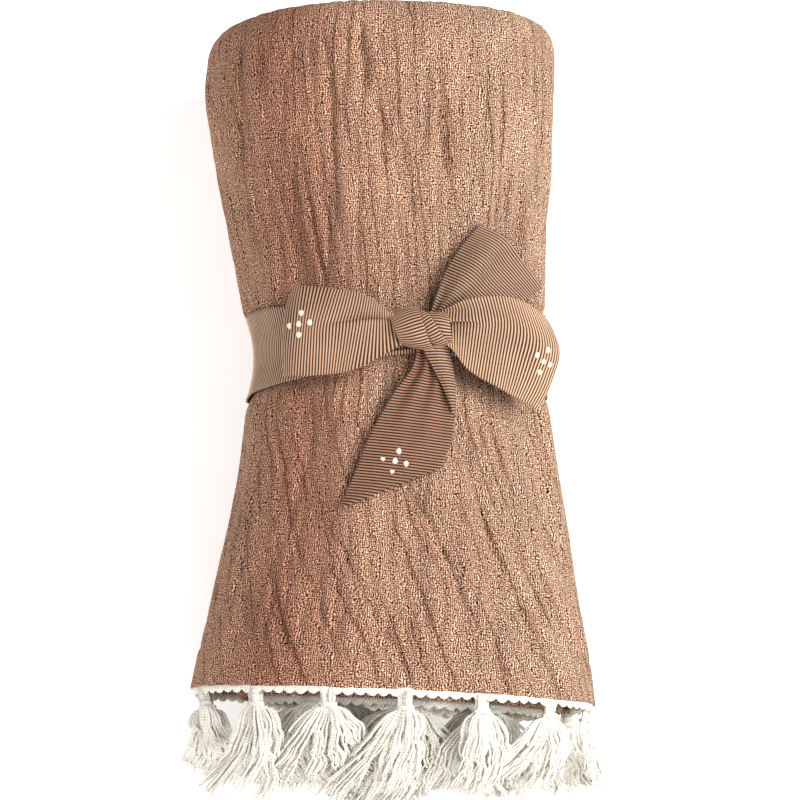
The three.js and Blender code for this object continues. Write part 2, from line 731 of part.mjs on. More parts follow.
// Strands leave the head in three rows of three, and spread into one fan.
function strandPath(lie, neck, seed, k) {
  const group = Math.floor(k / 3) - 1;
  const layer = (k % 3) - 1;
  const side = 2 * k / (tassel.strands - 1) - 1;
  const length = 1 - 0.06 * Math.abs(side) + 0.05 * uneven(seed * 31 + k);
  const tipSide = side * lie.spread / 2 + 0.5 * uneven(seed * 17 + k);
  const root = neck.end.clone().addScaledVector(neck.ahead, -tassel.rootDepth)
    .addScaledVector(lie.fan.clone().projectOnPlane(neck.ahead).normalize(), group * tassel.rootPitch)
    .addScaledVector(lie.layer.clone().projectOnPlane(neck.ahead).normalize(), layer * tassel.rootLayer);
  const fanned = [0.26, 0.6, 1].map((share) => {
    const point = lieAt(lie, mix(tassel.neck, length, share));
    point.addScaledVector(lie.fan, mix(group * tassel.rootPitch, tipSide, share ** 0.8));
    point.addScaledVector(lie.layer, layer * mix(tassel.rootLayer, tassel.tipLayer, share));
    point.z = Math.max(point.z, lie.rest);
    return point;
  });
  return [root, ...fanned];
}

function tasselGeometry(root, seed) {
  const lie = tasselLie(root, seed);
  const headPath = tasselHead.map((row) => {
    const point = lieAt(lie, row.at);
    point.z = Math.max(point.z, row.radius);
    return point;
  });
  const headRadii = tasselHead.map((row) => row.radius);
  const head = tube(headPath, headRadii, 6, 1, 1);
  const end = headPath[headPath.length - 1];
  const ahead = end.clone().sub(headPath[headPath.length - 2]).normalize();
  const strands = [];
  for (let k = 0; k < tassel.strands; k += 1) {
    const path = strandPath(lie, { end, ahead }, seed, k);
    strands.push(tube(path, strandRadii, 3, tassel.strandWidth * 0.87, tassel.strandHeight));
  }
  return joined([head, ...strands]);
}

// Roots of the tassels round the turns of the hem.
function tasselRoots() {
  const roots = [];
  for (const row of tasselTurns) {
    const line = hemLine(row.turn, tassel.rootScale);
    const total = line[line.length - 1].length;
    for (let length = row.first; length < total - 8; length += row.pitch) {
      const root = alongHem(line, length);
      const trim = row.turn === 0 ? hemEdging.gap + hemEdging.peak : 0;
      const stands = turnReach(footTurns, root.turns) + footTurns.crest + trim;
      root.y = roll.footY + skewAt(root.x, roll.footY) - stands - tassel.seat;
      roots.push(root);
    }
  }
  return roots;
}

// The finished object.

const cloth = new THREE.MeshStandardMaterial({ color: 0xb08369, roughness: 0.95, metalness: 0 });
const grosgrain = new THREE.MeshStandardMaterial({ color: 0x9e7b64, roughness: 0.7, metalness: 0 });
const cotton = new THREE.MeshStandardMaterial({ color: 0xe9e3d6, roughness: 0.9, metalness: 0 });

const group = new THREE.Group();

function addPiece(name, geometry, material) {
  const mesh = new THREE.Mesh(geometry, material);
  mesh.name = name;
  group.add(mesh);
}

addPiece("blanket_roll", blanketRoll(), cloth);
addPiece("hem_edging", edgingStrip(), cotton);
addPiece("ribbon_tie", ribbonTie(), grosgrain);
tasselRoots().forEach((root, k) => {
  const number = String(k + 1).padStart(2, "0");
  addPiece(`tassel_${number}`, tasselGeometry(root, k + 1), cotton);
});

const reach = new THREE.Box3().setFromObject(group);
const middle = reach.getCenter(new THREE.Vector3());
group.position.set(-middle.x, -middle.y, 0);

export default group;
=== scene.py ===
import math

import bpy
import numpy as np
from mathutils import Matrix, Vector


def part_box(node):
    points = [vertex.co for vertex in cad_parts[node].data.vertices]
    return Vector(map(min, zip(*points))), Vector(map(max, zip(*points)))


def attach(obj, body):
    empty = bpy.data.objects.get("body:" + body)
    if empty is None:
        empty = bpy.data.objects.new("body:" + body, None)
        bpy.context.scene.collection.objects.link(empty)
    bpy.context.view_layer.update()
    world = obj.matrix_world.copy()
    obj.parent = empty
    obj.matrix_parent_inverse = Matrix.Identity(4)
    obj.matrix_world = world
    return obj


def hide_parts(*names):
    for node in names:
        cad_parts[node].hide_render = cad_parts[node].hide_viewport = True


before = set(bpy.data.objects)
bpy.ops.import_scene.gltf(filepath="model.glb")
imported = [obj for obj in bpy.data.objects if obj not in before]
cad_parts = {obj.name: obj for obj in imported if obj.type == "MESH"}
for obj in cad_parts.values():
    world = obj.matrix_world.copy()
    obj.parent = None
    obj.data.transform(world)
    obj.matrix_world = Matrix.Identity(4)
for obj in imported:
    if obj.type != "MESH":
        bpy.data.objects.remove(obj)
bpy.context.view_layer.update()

# A swaddle blanket, rolled up and tied at the waist with a ribbon bow.
# Sizes are in millimetres in the roll's own frame, with the roll along Y and its hem at -Y.

mm = 0.001
turn = 2 * math.pi
scene = bpy.context.scene

# small helpers


def mix(a, b, share):
    return a + (b - a) * share


def ease(share):
    t = np.clip(share, 0, 1)
    return t * t * (3 - 2 * t)


def readTable(table, column, y):  # a smooth curve through one column of a table, read at y
    ys = np.array(table["y"], float)
    values = np.array(table[column], float)
    order = np.arange(len(ys))
    before, after = np.maximum(order - 1, 0), np.minimum(order + 1, len(ys) - 1)
    slopes = (values[after] - values[before]) / (ys[after] - ys[before])
    y = np.clip(y, ys[0], ys[-1])
    k = np.clip(np.searchsorted(ys, y, side="right") - 1, 0, len(ys) - 2)
    span = ys[k + 1] - ys[k]
    t = (y - ys[k]) / span
    bend = t * (1 - t) * span * ((1 - t) * slopes[k] - t * slopes[k + 1])
    return mix(values[k], values[k + 1], t * t * (3 - 2 * t)) + bend


def smoothNoise(u, v, seed):  # even bumps from about -1 to 1, one to each unit
    shuffled = np.random.default_rng(seed).permutation(256)
    i, j = np.floor(u).astype(int), np.floor(v).astype(int)
    f, g = u - i, v - j
    total = 0
    for di in (0, 1):
        for dj in (0, 1):
            angle = shuffled[(shuffled[(i + di) & 255] + j + dj) & 255] * turn / 256
            slope = np.cos(angle) * (f - di) + np.sin(angle) * (g - dj)
            total = total + slope * ease(1 - abs(f - di)) * ease(1 - abs(g - dj))
    return total * 1.5


def runningSum(steps):  # from 0, with one value more than there are steps
    return np.concatenate([[0], np.cumsum(steps)])


def stepLengths(points, axis):  # from each point of a grid to the next
    return np.linalg.norm(np.diff(points, axis=axis), axis=-1)


def unit(vectors):
    return vectors / np.maximum(np.linalg.norm(vectors, axis=-1, keepdims=True), 1e-9)


def asPoints(*axes):
    return np.stack(axes, axis=-1)


def aroundOnce(sides):  # angles of a ring's corners
    return np.linspace(0, turn, sides, endpoint=False)


# shape of the roll

footY, headY = -160, 150
blanket = {
    "skewFrom": 20,
    "footSkew": -0.042,  # the hem runs this much further out for each millimetre to the right
    "headFrom": 60,
    "headDraw": 2.2,  # the head fold draws back by this much
    "leftDraw": 5,  # and by this much more where it is this far to the left
    "leftReach": 85,
    "roundness": 2.3,
    "middle": 0.47,
    "sag": 1.06,
    "freeEdgeAngle": math.radians(-38),  # the loose long edge, low on the right
    "pitch": 0.222,  # thickness of one turn, as a share of the section's radius
    "edgeThickness": 0.45,
    "lapDip": 0.13,
    "creasesEnd": 142,  # creases fade out towards the head fold
}
sections = {
    "y": [-164, -135, -98, -62, -34, -27, -20, -4, 11, 18, 27, 52, 90, 124, 152],
    "left": [-92, -86.5, -77.5, -71, -68.6, -67.3, -64.6, -62.6, -65, -69, -71, -75.7, -82.7, -87.2, -85],
    "right": [94, 91, 84.5, 80.3, 76.4, 75.2, 72.2, 70.6, 71.4, 73.2, 73.4, 74, 76.2, 77.6, 77],
    "bottom": [0, 0, 0, 1.5, 4.5, 5, 6.5, 8, 6.5, 4.5, 4, 1, 0, 0, 0],
    "top": [107.5, 108.5, 106.5, 103.5, 101.6, 100.9, 98.9, 98, 98.9, 100.9, 101.8, 106, 112, 116, 116],
    "gather": [0.6, 1.4, 2.2, 3.2, 3.4, 3, 1.6, 1.2, 1.6, 3, 3.4, 2.6, 1.6, 1.0, 0.5],
    "step": [1, 1, 0.9, 0.7, 0.5, 0.42, 0.36, 0.35, 0.36, 0.42, 0.5, 0.7, 0.9, 1, 1],
}
ends = {
    "head": {"crest": 1.2, "outBy": [0, 2.5, 0.5, -1, -2], "steady": 0.5},
    "foot": {"crest": 0.6, "outBy": [0, 3.5, 2, 0.5, -1], "steady": 0.75},
}


def sectionAt(y):
    left, right = readTable(sections, "left", y), readTable(sections, "right", y)
    bottom, top = np.maximum(readTable(sections, "bottom", y), 0), readTable(sections, "top", y)
    return {
        "bottom": bottom,
        "top": top,
        "centreX": (left + right) / 2,
        "halfWidth": (right - left) / 2,
        "middleZ": mix(bottom, top, blanket["middle"]),
    }


def outlineAt(section, angle, scale):  # x and z of the plain outline, scaled towards its centre
    power = 2 / blanket["roundness"]
    across = np.sign(np.cos(angle)) * abs(np.cos(angle)) ** power
    upward = np.sign(np.sin(angle)) * abs(np.sin(angle)) ** power
    over = section["top"] - section["middleZ"]
    under = (section["middleZ"] - section["bottom"]) * blanket["sag"]
    z = np.maximum(section["middleZ"] + np.where(upward > 0, over, under) * upward, section["bottom"])
    x = section["centreX"] + section["halfWidth"] * across
    return mix(section["centreX"], x, scale), mix(section["middleZ"], z, scale)


def windingScale(turns, step):  # radius of the wound cloth after this many turns inwards
    edge = blanket["pitch"] * blanket["edgeThickness"] * step
    first = 1 - edge * ease((turns - 1 + blanket["lapDip"]) / blanket["lapDip"])
    if np.all(turns <= 1):
        return first
    behind = windingScale(np.maximum(turns - 1, 0), step)
    inner = behind - mix(edge, blanket["pitch"], ease((turns - 1) / 0.2))
    return np.where(turns <= 1, first, inner)


def windingAngle(turns):
    return blanket["freeEdgeAngle"] + turns * turn


def gatherDepth(turns, y):
    wide = np.cos(turn * 9 * turns + 0.012 * y)
    narrow = np.cos(turn * 13 * turns - 0.02 * y + 1.3)
    return readTable(sections, "gather", y) * (1 + 0.6 * wide + 0.4 * narrow) / 2


def skewAt(x, y):  # the hem runs aslant, and the head fold draws back at its left end
    b = blanket
    foot = np.clip((b["skewFrom"] - y) / (b["skewFrom"] - footY), 0, 1)
    head = ease((y - b["headFrom"]) / (headY - b["headFrom"]))
    draw = b["headDraw"] + b["leftDraw"] * np.clip(-x / b["leftReach"], 0, 1) ** 2
    return b["footSkew"] * x * foot - head * draw


def turnReach(end, turns):  # how far a turn stands out at an end of the roll, beside its crest
    whole = np.minimum(np.floor(turns).astype(int), len(end["outBy"]) - 2)
    outBy = np.array(end["outBy"], float)
    share = ease((turns - whole - end["steady"]) / (1 - end["steady"]))
    return mix(outBy[whole], outBy[whole + 1], share)


def standsOut(end, turns):
    return turnReach(end, turns) + end["crest"]


# Creases over the top of the roll: wide ones are soft troughs, and sharp ones are pinched folds.
wideCreases = {
    "fromX": [-15, -69, -26, -5, 16, -27, -46, 8, 31, 46],
    "fromY": [149, 144, 117, 99, 119, -85, -80, -70, -42, -117],
    "toX": [-10, -68, -27, 9, 25, 8, -25, 35, 50, 64],
    "toY": [108, 80, 30, 50, 78, -156, -140, -130, -112, -146],
    "depth": [2.0, 1.1, 1.1, 1.1, 1.0, 1.5, 1.2, 1.5, 1.3, 1.1],
    "width": [4.5, 4.5, 4.5, 5, 5, 5, 5, 5, 5, 5],
}
sharpCreases = {
    "fromX": [-15, -69, -26, -44, -28, -15, -5, 2, 16, 29, -27, -10, -46, -37, 8, 24, 31, 46, -66, -55],
    "fromY": [149, 144, 117, 90, 69, 66, 99, 85, 119, 143,
              -89, -123, -83, -112, -72, -101, -44, -119, -103, -99],
    "toX": [-10, -68, -25, -43, -28, -15, 8, 10, 24, 32, -10, 8, -37, -25, 24, 35, 49, 64, -64, -46],
    "toY": [111, 83, 50, 51, 23, 32, 55, 55, 79, 124,
            -123, -154, -112, -139, -101, -128, -110, -144, -133, -142],
    "depth": [2.4, 1.5, 1.5, 1.2, 1.2, 1.1, 1.3, 1.0, 1.2, 1.0,
              1.5, 1.6, 1.3, 1.1, 1.5, 1.4, 1.4, 1.3, 1.0, 1.1],
    "width": [1.5] + [1.3] * 9 + [1.5, 1.5, 1.4, 1.4, 1.5, 1.5, 1.5, 1.4, 1.3, 1.3],
}


def creaseDepth(table, x, y):
    depth = 0
    for fromX, fromY, toX, toY, deep, width in zip(*table.values()):
        alongX, alongY = toX - fromX, toY - fromY
        share = ((x - fromX) * alongX + (y - fromY) * alongY) / (alongX**2 + alongY**2)
        nearest = np.clip(share, 0, 1)
        distance = np.hypot(x - fromX - nearest * alongX, y - fromY - nearest * alongY)
        depth = depth + deep * np.exp(-((distance / width) ** 2))
    return depth


def creasesShow(section, y, z):  # over the top of the roll, as far as the head fold
    return ease((z - section["middleZ"]) / 12) * ease((blanket["creasesEnd"] - y) / 10)


def skinAt(turns, y, inset=0):  # points of the roll's skin, moved in from it by inset
    section = sectionAt(y)
    x, z = outlineAt(section, windingAngle(turns), windingScale(turns, readTable(sections, "step", y)))
    outX, outZ = x - section["centreX"], z - section["middleZ"]
    radius = np.hypot(outX, outZ)
    offFloor = ease((z - section["bottom"]) / 16)
    creases = 0.6 * creasesShow(section, y, z) * creaseDepth(wideCreases, x, y)
    inward = inset + gatherDepth(turns, y) * offFloor + creases
    x = x - outX / radius * inward
    z = np.maximum(z - outZ / radius * inward, section["bottom"])
    return asPoints(x, y + skewAt(x, y), z)


def topAt(x, y):  # height of the roll's top over a point of the surface it lies on
    section = sectionAt(y)
    across = np.minimum(abs(x - section["centreX"]) / section["halfWidth"], 0.995)
    share = (1 - across ** blanket["roundness"]) ** (1 / blanket["roundness"])
    return mix(section["middleZ"], section["top"], share)


# The ribbon's band goes round the waist, and is gathered where it runs under the knot.
ribbon = {
    "width": 38,
    "thickness": 0.8,
    "gap": 0.6,
    "ribHeight": 0.11,
    "stepsPerRib": 4,
    "across": 22,
    "bandY": -4,
    "bandSlant": 0.021,
    "knotWidth": 14,
    "knotRise": 0.8,
    "gatherReach": 75,
    "gatherPleat": 1.1,
}


def bandY(x):
    return ribbon["bandY"] + ribbon["bandSlant"] * x


# the roll's own frame in the part's: its head fold and its widest point are where the solid's are
wholeTurn = np.linspace(0, 1, 113)[None, :]
wholeLength = np.linspace(footY, headY, 156)[:, None]
ownHead = headY + max(ends["head"]["outBy"]) + ends["head"]["crest"]
ownRight = skinAt(wholeTurn, wholeLength)[..., 0].max()
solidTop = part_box("blanket_roll")[1]
rollPlace = np.array([solidTop.x / mm - ownRight, solidTop.y / mm - ownHead, 0])

# camera

view = {"elevation": 80, "distance": 1250, "focus": (4.5, -25, 58), "lens": 122.27}

camera = bpy.data.objects.new("camera", bpy.data.cameras.new("camera"))
scene.collection.objects.link(camera)
tilt = math.radians(view["elevation"])
back = np.array([0, -math.cos(tilt), math.sin(tilt)])
camera.location = (np.array(view["focus"]) + rollPlace + back * view["distance"]) * mm
camera.rotation_euler = (math.pi / 2 - tilt, 0, 0)
camera.data.lens = view["lens"]
camera.data.sensor_width = 36
camera.data.clip_end = 20
scene.camera = camera
print("camera placed")

# light and floor

studio = {
    "key": {"at": (650, 90, 740), "size": 0.75, "watts": 15.2, "colour": (0.98, 0.99, 0.97)},
    "fill": {"at": (-420, -380, 1150), "size": 1.6, "watts": 6.5, "colour": (0.97, 0.985, 1.0)},
    "front": {"at": (60, -1100, 340), "size": 0.7, "watts": 7.5, "colour": (1.0, 0.98, 0.94)},
    "rim": {"at": (-820, -40, 110), "size": 0.5, "watts": 2.2, "colour": (1.0, 0.99, 0.96)},
    "world": 0.25,
    "floorColour": (0.93, 0.93, 0.93),
    "floorGlow": 0.45,
}


def softBox(name, size, watts, at, colour):
    lamp = bpy.data.lights.new(name, "AREA")
    lamp.shape = "SQUARE"
    lamp.size = size
    lamp.energy = watts
    lamp.color = colour
    box = bpy.data.objects.new(name, lamp)
    box.location = [value * mm for value in at]
    aim = box.location.copy()
    aim.z -= 50 * mm
    box.rotation_euler = aim.to_track_quat("Z", "Y").to_euler()
    scene.collection.objects.link(box)


for name in ("key", "fill", "front", "rim"):
    softBox(name, **studio[name])
world = bpy.data.worlds.new("studio")
world.use_nodes = True
world.node_tree.nodes["Background"].inputs["Color"].default_value = (1, 1, 1, 1)
world.node_tree.nodes["Background"].inputs["Strength"].default_value = studio["world"]
scene.world = world
scene.view_settings.view_transform = "Standard"
print("lights placed")

# materials


class Nodes:  # builds a material's nodes; inputs are values or other nodes' outputs
    def __init__(self, name):
        self.material = bpy.data.materials.new(name)
        self.material.use_nodes = True
        self.tree = self.material.node_tree
        self.shader = self.tree.nodes["Principled BSDF"]

    def fill(self, node, inputs):
        for key, value in inputs.items():
            socket = node.inputs[key]
            if isinstance(value, bpy.types.NodeSocket):
                self.tree.links.new(value, socket)
            else:
                socket.default_value = value
        return node

    def add(self, kind, settings, inputs):
        node = self.tree.nodes.new("ShaderNode" + kind)
        for key, value in settings.items():
            setattr(node, key, value)
        return self.fill(node, inputs)

    def math(self, operation, *values):
        return self.add("Math", {"operation": operation}, dict(enumerate(values))).outputs[0]

    def plus(self, a, b):
        return self.math("ADD", a, b)

    def times(self, a, b):
        return self.math("MULTIPLY", a, b)

    def vector(self, operation, *values):
        return self.add("VectorMath", {"operation": operation}, dict(enumerate(values))).outputs[0]

    def scaled(self, value, size):
        return self.add("VectorMath", {"operation": "SCALE"}, {0: value, "Scale": size}).outputs[0]

    def split(self, place):
        return self.add("SeparateXYZ", {}, {0: place}).outputs

    def wave(self, value, period):  # from -1 to 1, once each period
        return self.math("SINE", self.times(value, turn / period))

    def flatPlace(self):  # u and v along the cloth, in millimetres
        return self.scaled(self.add("UVMap", {"uv_map": "cloth"}, {}).outputs["UV"], 1000.0)

    def noise(self, place, size, detail=2.0, dimensions="2D", output="Fac"):
        inputs = {"Vector": place, "Scale": 1 / size, "Detail": detail}
        return self.add("TexNoise", {"noise_dimensions": dimensions}, inputs).outputs[output]

    def longNoise(self, u, v, wide, long, shift, detail):  # in cells so wide and so long
        inputs = {0: self.math("DIVIDE", u, wide), 1: self.math("DIVIDE", v, long), 2: shift}
        return self.noise(self.add("CombineXYZ", {}, inputs).outputs[0], 1.0, detail, "3D")

    def spread(self, value, low, high, toLow=0.0, toHigh=1.0, steps="LINEAR"):
        inputs = {"Value": value, "From Min": low, "From Max": high, "To Min": toLow, "To Max": toHigh}
        return self.add("MapRange", {"interpolation_type": steps}, inputs).outputs["Result"]

    def ramp(self, value, stops):
        node = self.add("ValToRGB", {}, {"Fac": value})
        points = node.color_ramp.elements
        while len(points) < len(stops):
            points.new(0.5)
        for point, (position, colour) in zip(points, stops):
            point.position = position
            point.color = (*colour, 1)
        return node.outputs["Color"]

    def tint(self, colour, byColour, share, blend="MULTIPLY"):
        node = self.add("Mix", {"data_type": "RGBA", "blend_type": blend}, {0: share})
        return self.fill(node, {6: colour, 7: byColour}).outputs[2]

    def mottled(self, colour, place, size, low, high):
        return self.scaled(colour, self.spread(self.noise(place, size, 3.0), 0.3, 0.7, low, high))

    def creased(self, spacing, shift):  # long thin creases that wander along the cloth, from 0 to 1
        lines = creaseLines
        place = self.flatPlace()
        axes = self.split(place)
        low = self.math("MAXIMUM", self.math("SUBTRACT", lines["slantBelow"], axes["Y"]), 0.0)
        u = self.plus(axes["X"], self.times(low, lines["slant"]))
        wander = self.longNoise(u, axes["Y"], 3 * spacing, lines["wanderLength"], shift, 1.0)
        wiggle = self.noise(place, lines["wiggleSize"], 1.0)
        u = self.plus(u, self.times(wander, lines["wander"] * spacing))
        u = self.plus(u, self.times(wiggle, lines["wiggle"]))
        across = self.math("FRACT", self.math("DIVIDE", u, spacing))
        profile = self.ramp(across, [(at, (level,) * 3) for at, level in lines["profile"]])
        shown = self.longNoise(u, axes["Y"], 1.4 * spacing, lines["length"], shift + 5, 0.0)
        return self.times(profile, self.spread(shown, 0.4, 0.62))

    def bump(self, height, depth, strength=1.0):
        inputs = {"Height": height, "Distance": depth * mm, "Strength": strength}
        self.fill(self.shader, {"Normal": self.add("Bump", {}, inputs).outputs[0]})

    def finished(self, colour, shader):
        self.fill(self.shader, {"Base Color": colour, **shader})
        return self.material


muslinLook = {
    "yarnAcross": 1.14,
    "yarnAlong": 1.05,
    "alongShare": 0.22,
    "wander": [(6.0, 1.3, 1.5), (1.7, 0.42, 0.5)],  # size, reach and detail of the yarns' wandering
    "grain": 0.62,
    "grainShare": 0.85,
    # the weave's pattern is the cloth's own, but the near-black lowest stop is painted shade in the holes
    # between yarns and the light top stop a painted highlight on the yarn crests
    "stops": [(0.2, (0.022, 0.006, 0.003)), (0.38, (0.15, 0.060, 0.033)), (0.56, (0.47, 0.238, 0.148)),
              (0.9, (1.0, 0.68, 0.49))],
    "bumpDepth": 0.4,
    "creaseDepth": 0.8,
    # painted shade: the colour the creases are darkened towards
    "creaseShadeTint": (0.50, 0.36, 0.31, 1),
    "leftShadeAt": 241,  # painted shade: darker and redder along the cloth here, over the roll's left shoulder
    "leftShadeReach": 50,
    "leftShadeTint": (0.78, 0.66, 0.64, 1),
    "litSideFrom": 215,  # painted light: paler and less red towards the outer edge of the cloth, over the roll's lit right side
    "litSideTo": 105,
    "litSideTint": (0.91, 1.0, 1.03, 1),
    "shader": {"Roughness": 1.0, "Specular IOR Level": 0.06, "Sheen Weight": 0.06, "Sheen Roughness": 0.5,
               "Sheen Tint": (1, 0.8, 0.68, 1)},
}
creaseLines = {
    "spacing": 9.5,
    "fineSpacing": 6.1,
    "fineShare": 0.6,
    "length": 48.0,
    "wanderLength": 90.0,
    "wander": 2.4,  # in spacings
    "wiggle": 2.6,
    "wiggleSize": 4.5,
    "slantBelow": 135,  # nearer the hem than this the creases slant, by this much a millimetre
    "slant": 0.4,
    "profile": [(0.0, 1), (0.05, 0.35), (0.16, 0.1), (0.5, 0), (0.8, 0.12), (0.95, 0.4), (1.0, 1)],
}


def muslin():
    look, lines = muslinLook, creaseLines
    cloth = Nodes("muslin")
    place = bent = cloth.flatPlace()
    for size, reach, detail in look["wander"]:
        drift = cloth.noise(place, size, detail, output="Color")
        shift = cloth.vector("SUBTRACT", drift, (0.5, 0.5, 0.5))
        bent = cloth.vector("ADD", bent, cloth.vector("MULTIPLY", shift, (2 * reach, 1.6 * reach, 0)))
    axes = cloth.split(bent)
    columns = cloth.wave(axes["X"], look["yarnAcross"])
    picks = cloth.wave(axes["Y"], look["yarnAlong"])
    grain = cloth.spread(cloth.noise(bent, look["grain"], 1.0), 0.28, 0.72, -1.0, 1.0)
    patch = cloth.spread(cloth.noise(place, 8.0), 0.35, 0.65, 0.2, 0.62)
    yarns = cloth.plus(cloth.times(columns, patch), cloth.times(picks, look["alongShare"]))
    level = cloth.spread(cloth.plus(yarns, cloth.times(grain, look["grainShare"])), -1.2, 1.2)
    fine = cloth.times(cloth.creased(lines["fineSpacing"], 20.0), lines["fineShare"])
    creases = cloth.math("MINIMUM", cloth.plus(cloth.creased(lines["spacing"], 0.0), fine), 1.0)
    # the ramp paints shade in the weave's holes and highlights on its crests
    colour = cloth.mottled(cloth.ramp(level, look["stops"]), place, 26.0, 0.93, 1.07)
    # painted shade: the creases are darkened in colour as well as sunk by the bump
    colour = cloth.tint(colour, look["creaseShadeTint"], creases)
    # painted shade: darker and redder over the roll's left shoulder, away from the key light
    fromLeftShade = cloth.math("ABSOLUTE", cloth.math("SUBTRACT", axes["X"], look["leftShadeAt"]))
    deep = cloth.spread(fromLeftShade, 0.0, look["leftShadeReach"], 1.0, 0.0, "SMOOTHSTEP")
    colour = cloth.tint(colour, look["leftShadeTint"], deep)
    # painted light: a paler, less red tone over the roll's lit right side
    litSide = cloth.spread(axes["X"], look["litSideTo"], look["litSideFrom"], 1.0, 0.0, "SMOOTHSTEP")
    colour = cloth.tint(colour, look["litSideTint"], litSide)
    depth = cloth.times(creases, -look["creaseDepth"])
    cloth.bump(cloth.plus(cloth.times(level, look["bumpDepth"]), depth), 1.0)
    return cloth.finished(colour, look["shader"])


cottonLook = {
    "twist": 1.5,
    "stops": [(0.1, (0.56, 0.50, 0.40)), (0.45, (0.77, 0.74, 0.67)), (0.8, (0.87, 0.85, 0.80))],
    "warmTint": (0.80, 0.72, 0.58, 1),
    "bumpDepth": 0.16,
    "shader": {"Roughness": 0.9, "Specular IOR Level": 0.2, "Sheen Weight": 0.15, "Sheen Roughness": 0.5},
}


def twistedCotton():
    look = cottonLook
    cloth = Nodes("twisted_cotton")
    place = cloth.flatPlace()
    axes = cloth.split(place)
    twist = cloth.wave(cloth.plus(axes["Y"], axes["X"]), look["twist"])
    level = cloth.plus(cloth.times(twist, 0.3), cloth.noise(place, 0.8))
    warm = cloth.spread(cloth.noise(place, 14.0), 0.45, 0.75, 0.0, 0.28)
    colour = cloth.tint(cloth.ramp(level, look["stops"]), look["warmTint"], warm, "MIX")
    cloth.bump(level, look["bumpDepth"])
    return cloth.finished(colour, look["shader"])


ribbonLook = {
    "ribPitch": 1.32,
    "threadPitch": 0.42,
    # painted shade and highlight: the near-black stop darkens the rib grooves and the light stop lights the
    # rib crests
    "stops": [(0.22, (0.017, 0.006, 0.003)), (0.6, (0.145, 0.072, 0.041)), (0.92, (0.68, 0.435, 0.285))],
    "tones": {  # painted shade: darker copies of the one ribbon, for the pieces that lie in shade
        "plain": (1, 1, 1, 1),
        "shaded": (0.88, 0.83, 0.82, 1),
        "half_shade": (0.70, 0.67, 0.67, 1),
        "deep_shade": (0.57, 0.455, 0.44, 1),
    },
    "bumpDepth": 0.1,
    "shader": {"Roughness": 0.6, "Specular IOR Level": 0.2, "Sheen Weight": 0.04, "Sheen Roughness": 0.4,
               "Sheen Tint": (1, 0.85, 0.7, 1)},
}


def grosgrain(name, tone):
    look = ribbonLook
    cloth = Nodes(name)
    place = cloth.flatPlace()
    axes = cloth.split(place)
    ribs = cloth.wave(axes["Y"], look["ribPitch"])
    threads = cloth.wave(axes["X"], look["threadPitch"])
    level = cloth.spread(cloth.plus(ribs, cloth.times(threads, 0.22)), -1.1, 1.1)
    # the ramp paints shade in the rib grooves and highlights on the rib crests
    colour = cloth.mottled(cloth.ramp(level, look["stops"]), place, 12.0, 0.94, 1.06)
    cloth.bump(threads, look["bumpDepth"], 0.4)
    # tone darkens the whole piece where it is meant to lie in painted shade
    return cloth.finished(cloth.tint(colour, tone, 1.0), look["shader"])


def printInk():
    ink = Nodes("cream_print")
    grain = ink.noise(ink.flatPlace(), 0.5)
    colour = ink.ramp(grain, [(0.3, (0.68, 0.62, 0.50)), (0.7, (0.82, 0.77, 0.66))])
    return ink.finished(colour, {"Roughness": 0.55})


def paleFloor():
    shader = {"Roughness": 0.95, "Specular IOR Level": 0.1}
    glow = {"Emission Color": (1, 1, 1, 1), "Emission Strength": studio["floorGlow"]}
    return Nodes("pale_floor").finished((*studio["floorColour"], 1), {**shader, **glow})


muslinCloth, cottonYarn, creamPrint = muslin(), twistedCotton(), printInk()
ribbonCloth = {name: grosgrain(f"grosgrain_{name}", tone) for name, tone in ribbonLook["tones"].items()}
print("materials made")

# making pieces


def gridFaces(rows, columns, ringed=False, start=0):  # quads over a grid of points, row by row
    over = columns if ringed else columns - 1
    i, j = np.meshgrid(np.arange(rows - 1), np.arange(over), indexing="ij")
    a, b = i * columns + j + start, i * columns + (j + 1) % columns + start
    return np.stack([a, b, b + columns, a + columns], axis=-1).reshape(-1, 4).tolist()


def closedFaces(rings, sides, start=0):  # a tube of rings, closed at both ends
    last = start + (rings - 1) * sides
    caps = [list(range(start + sides - 1, start - 1, -1)), list(range(last, last + sides))]
    return gridFaces(rings, sides, True, start) + caps


def gridUv(points):  # lengths along a grid of points, for a cloth's own flat place
    u = runningSum(stepLengths(points, 1).max(axis=0))
    v = runningSum(stepLengths(points, 0).mean(axis=1))
    return asPoints(*np.meshgrid(u, v))


def gridNormals(points):
    along, across = np.gradient(points, axis=0), np.gradient(points, axis=1)
    return unit(np.cross(across, along))


def makePiece(name, points, faces, uv, material):
    mesh = bpy.data.meshes.new(name)
    places = (points.reshape(-1, 3) + rollPlace) * mm
    mesh.from_pydata(places.tolist(), [], faces)
    corners = np.zeros(len(mesh.loops), np.int32)
    mesh.loops.foreach_get("vertex_index", corners)
    flat = uv.reshape(-1, 2)[corners] * mm
    mesh.uv_layers.new(name="cloth").data.foreach_set("uv", flat.astype(np.float32).ravel())
    mesh.materials.append(material)
    mesh.shade_smooth()
    piece = bpy.data.objects.new(name, mesh)
    scene.collection.objects.link(piece)
    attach(piece, "root")
    return piece


floorMesh = bpy.data.meshes.new("floor")
floorCorners = [(x, y, -0.0005) for x, y in ((-3, -3), (3, -3), (3, 3), (-3, 3))]
floorMesh.from_pydata(floorCorners, [], [(0, 1, 2, 3)])
floorMesh.materials.append(paleFloor())
floor = bpy.data.objects.new("floor", floorMesh)
scene.collection.objects.link(floor)

# muslin wrap: the outer turn of the blanket, with its hem, its head fold and its loose long edge

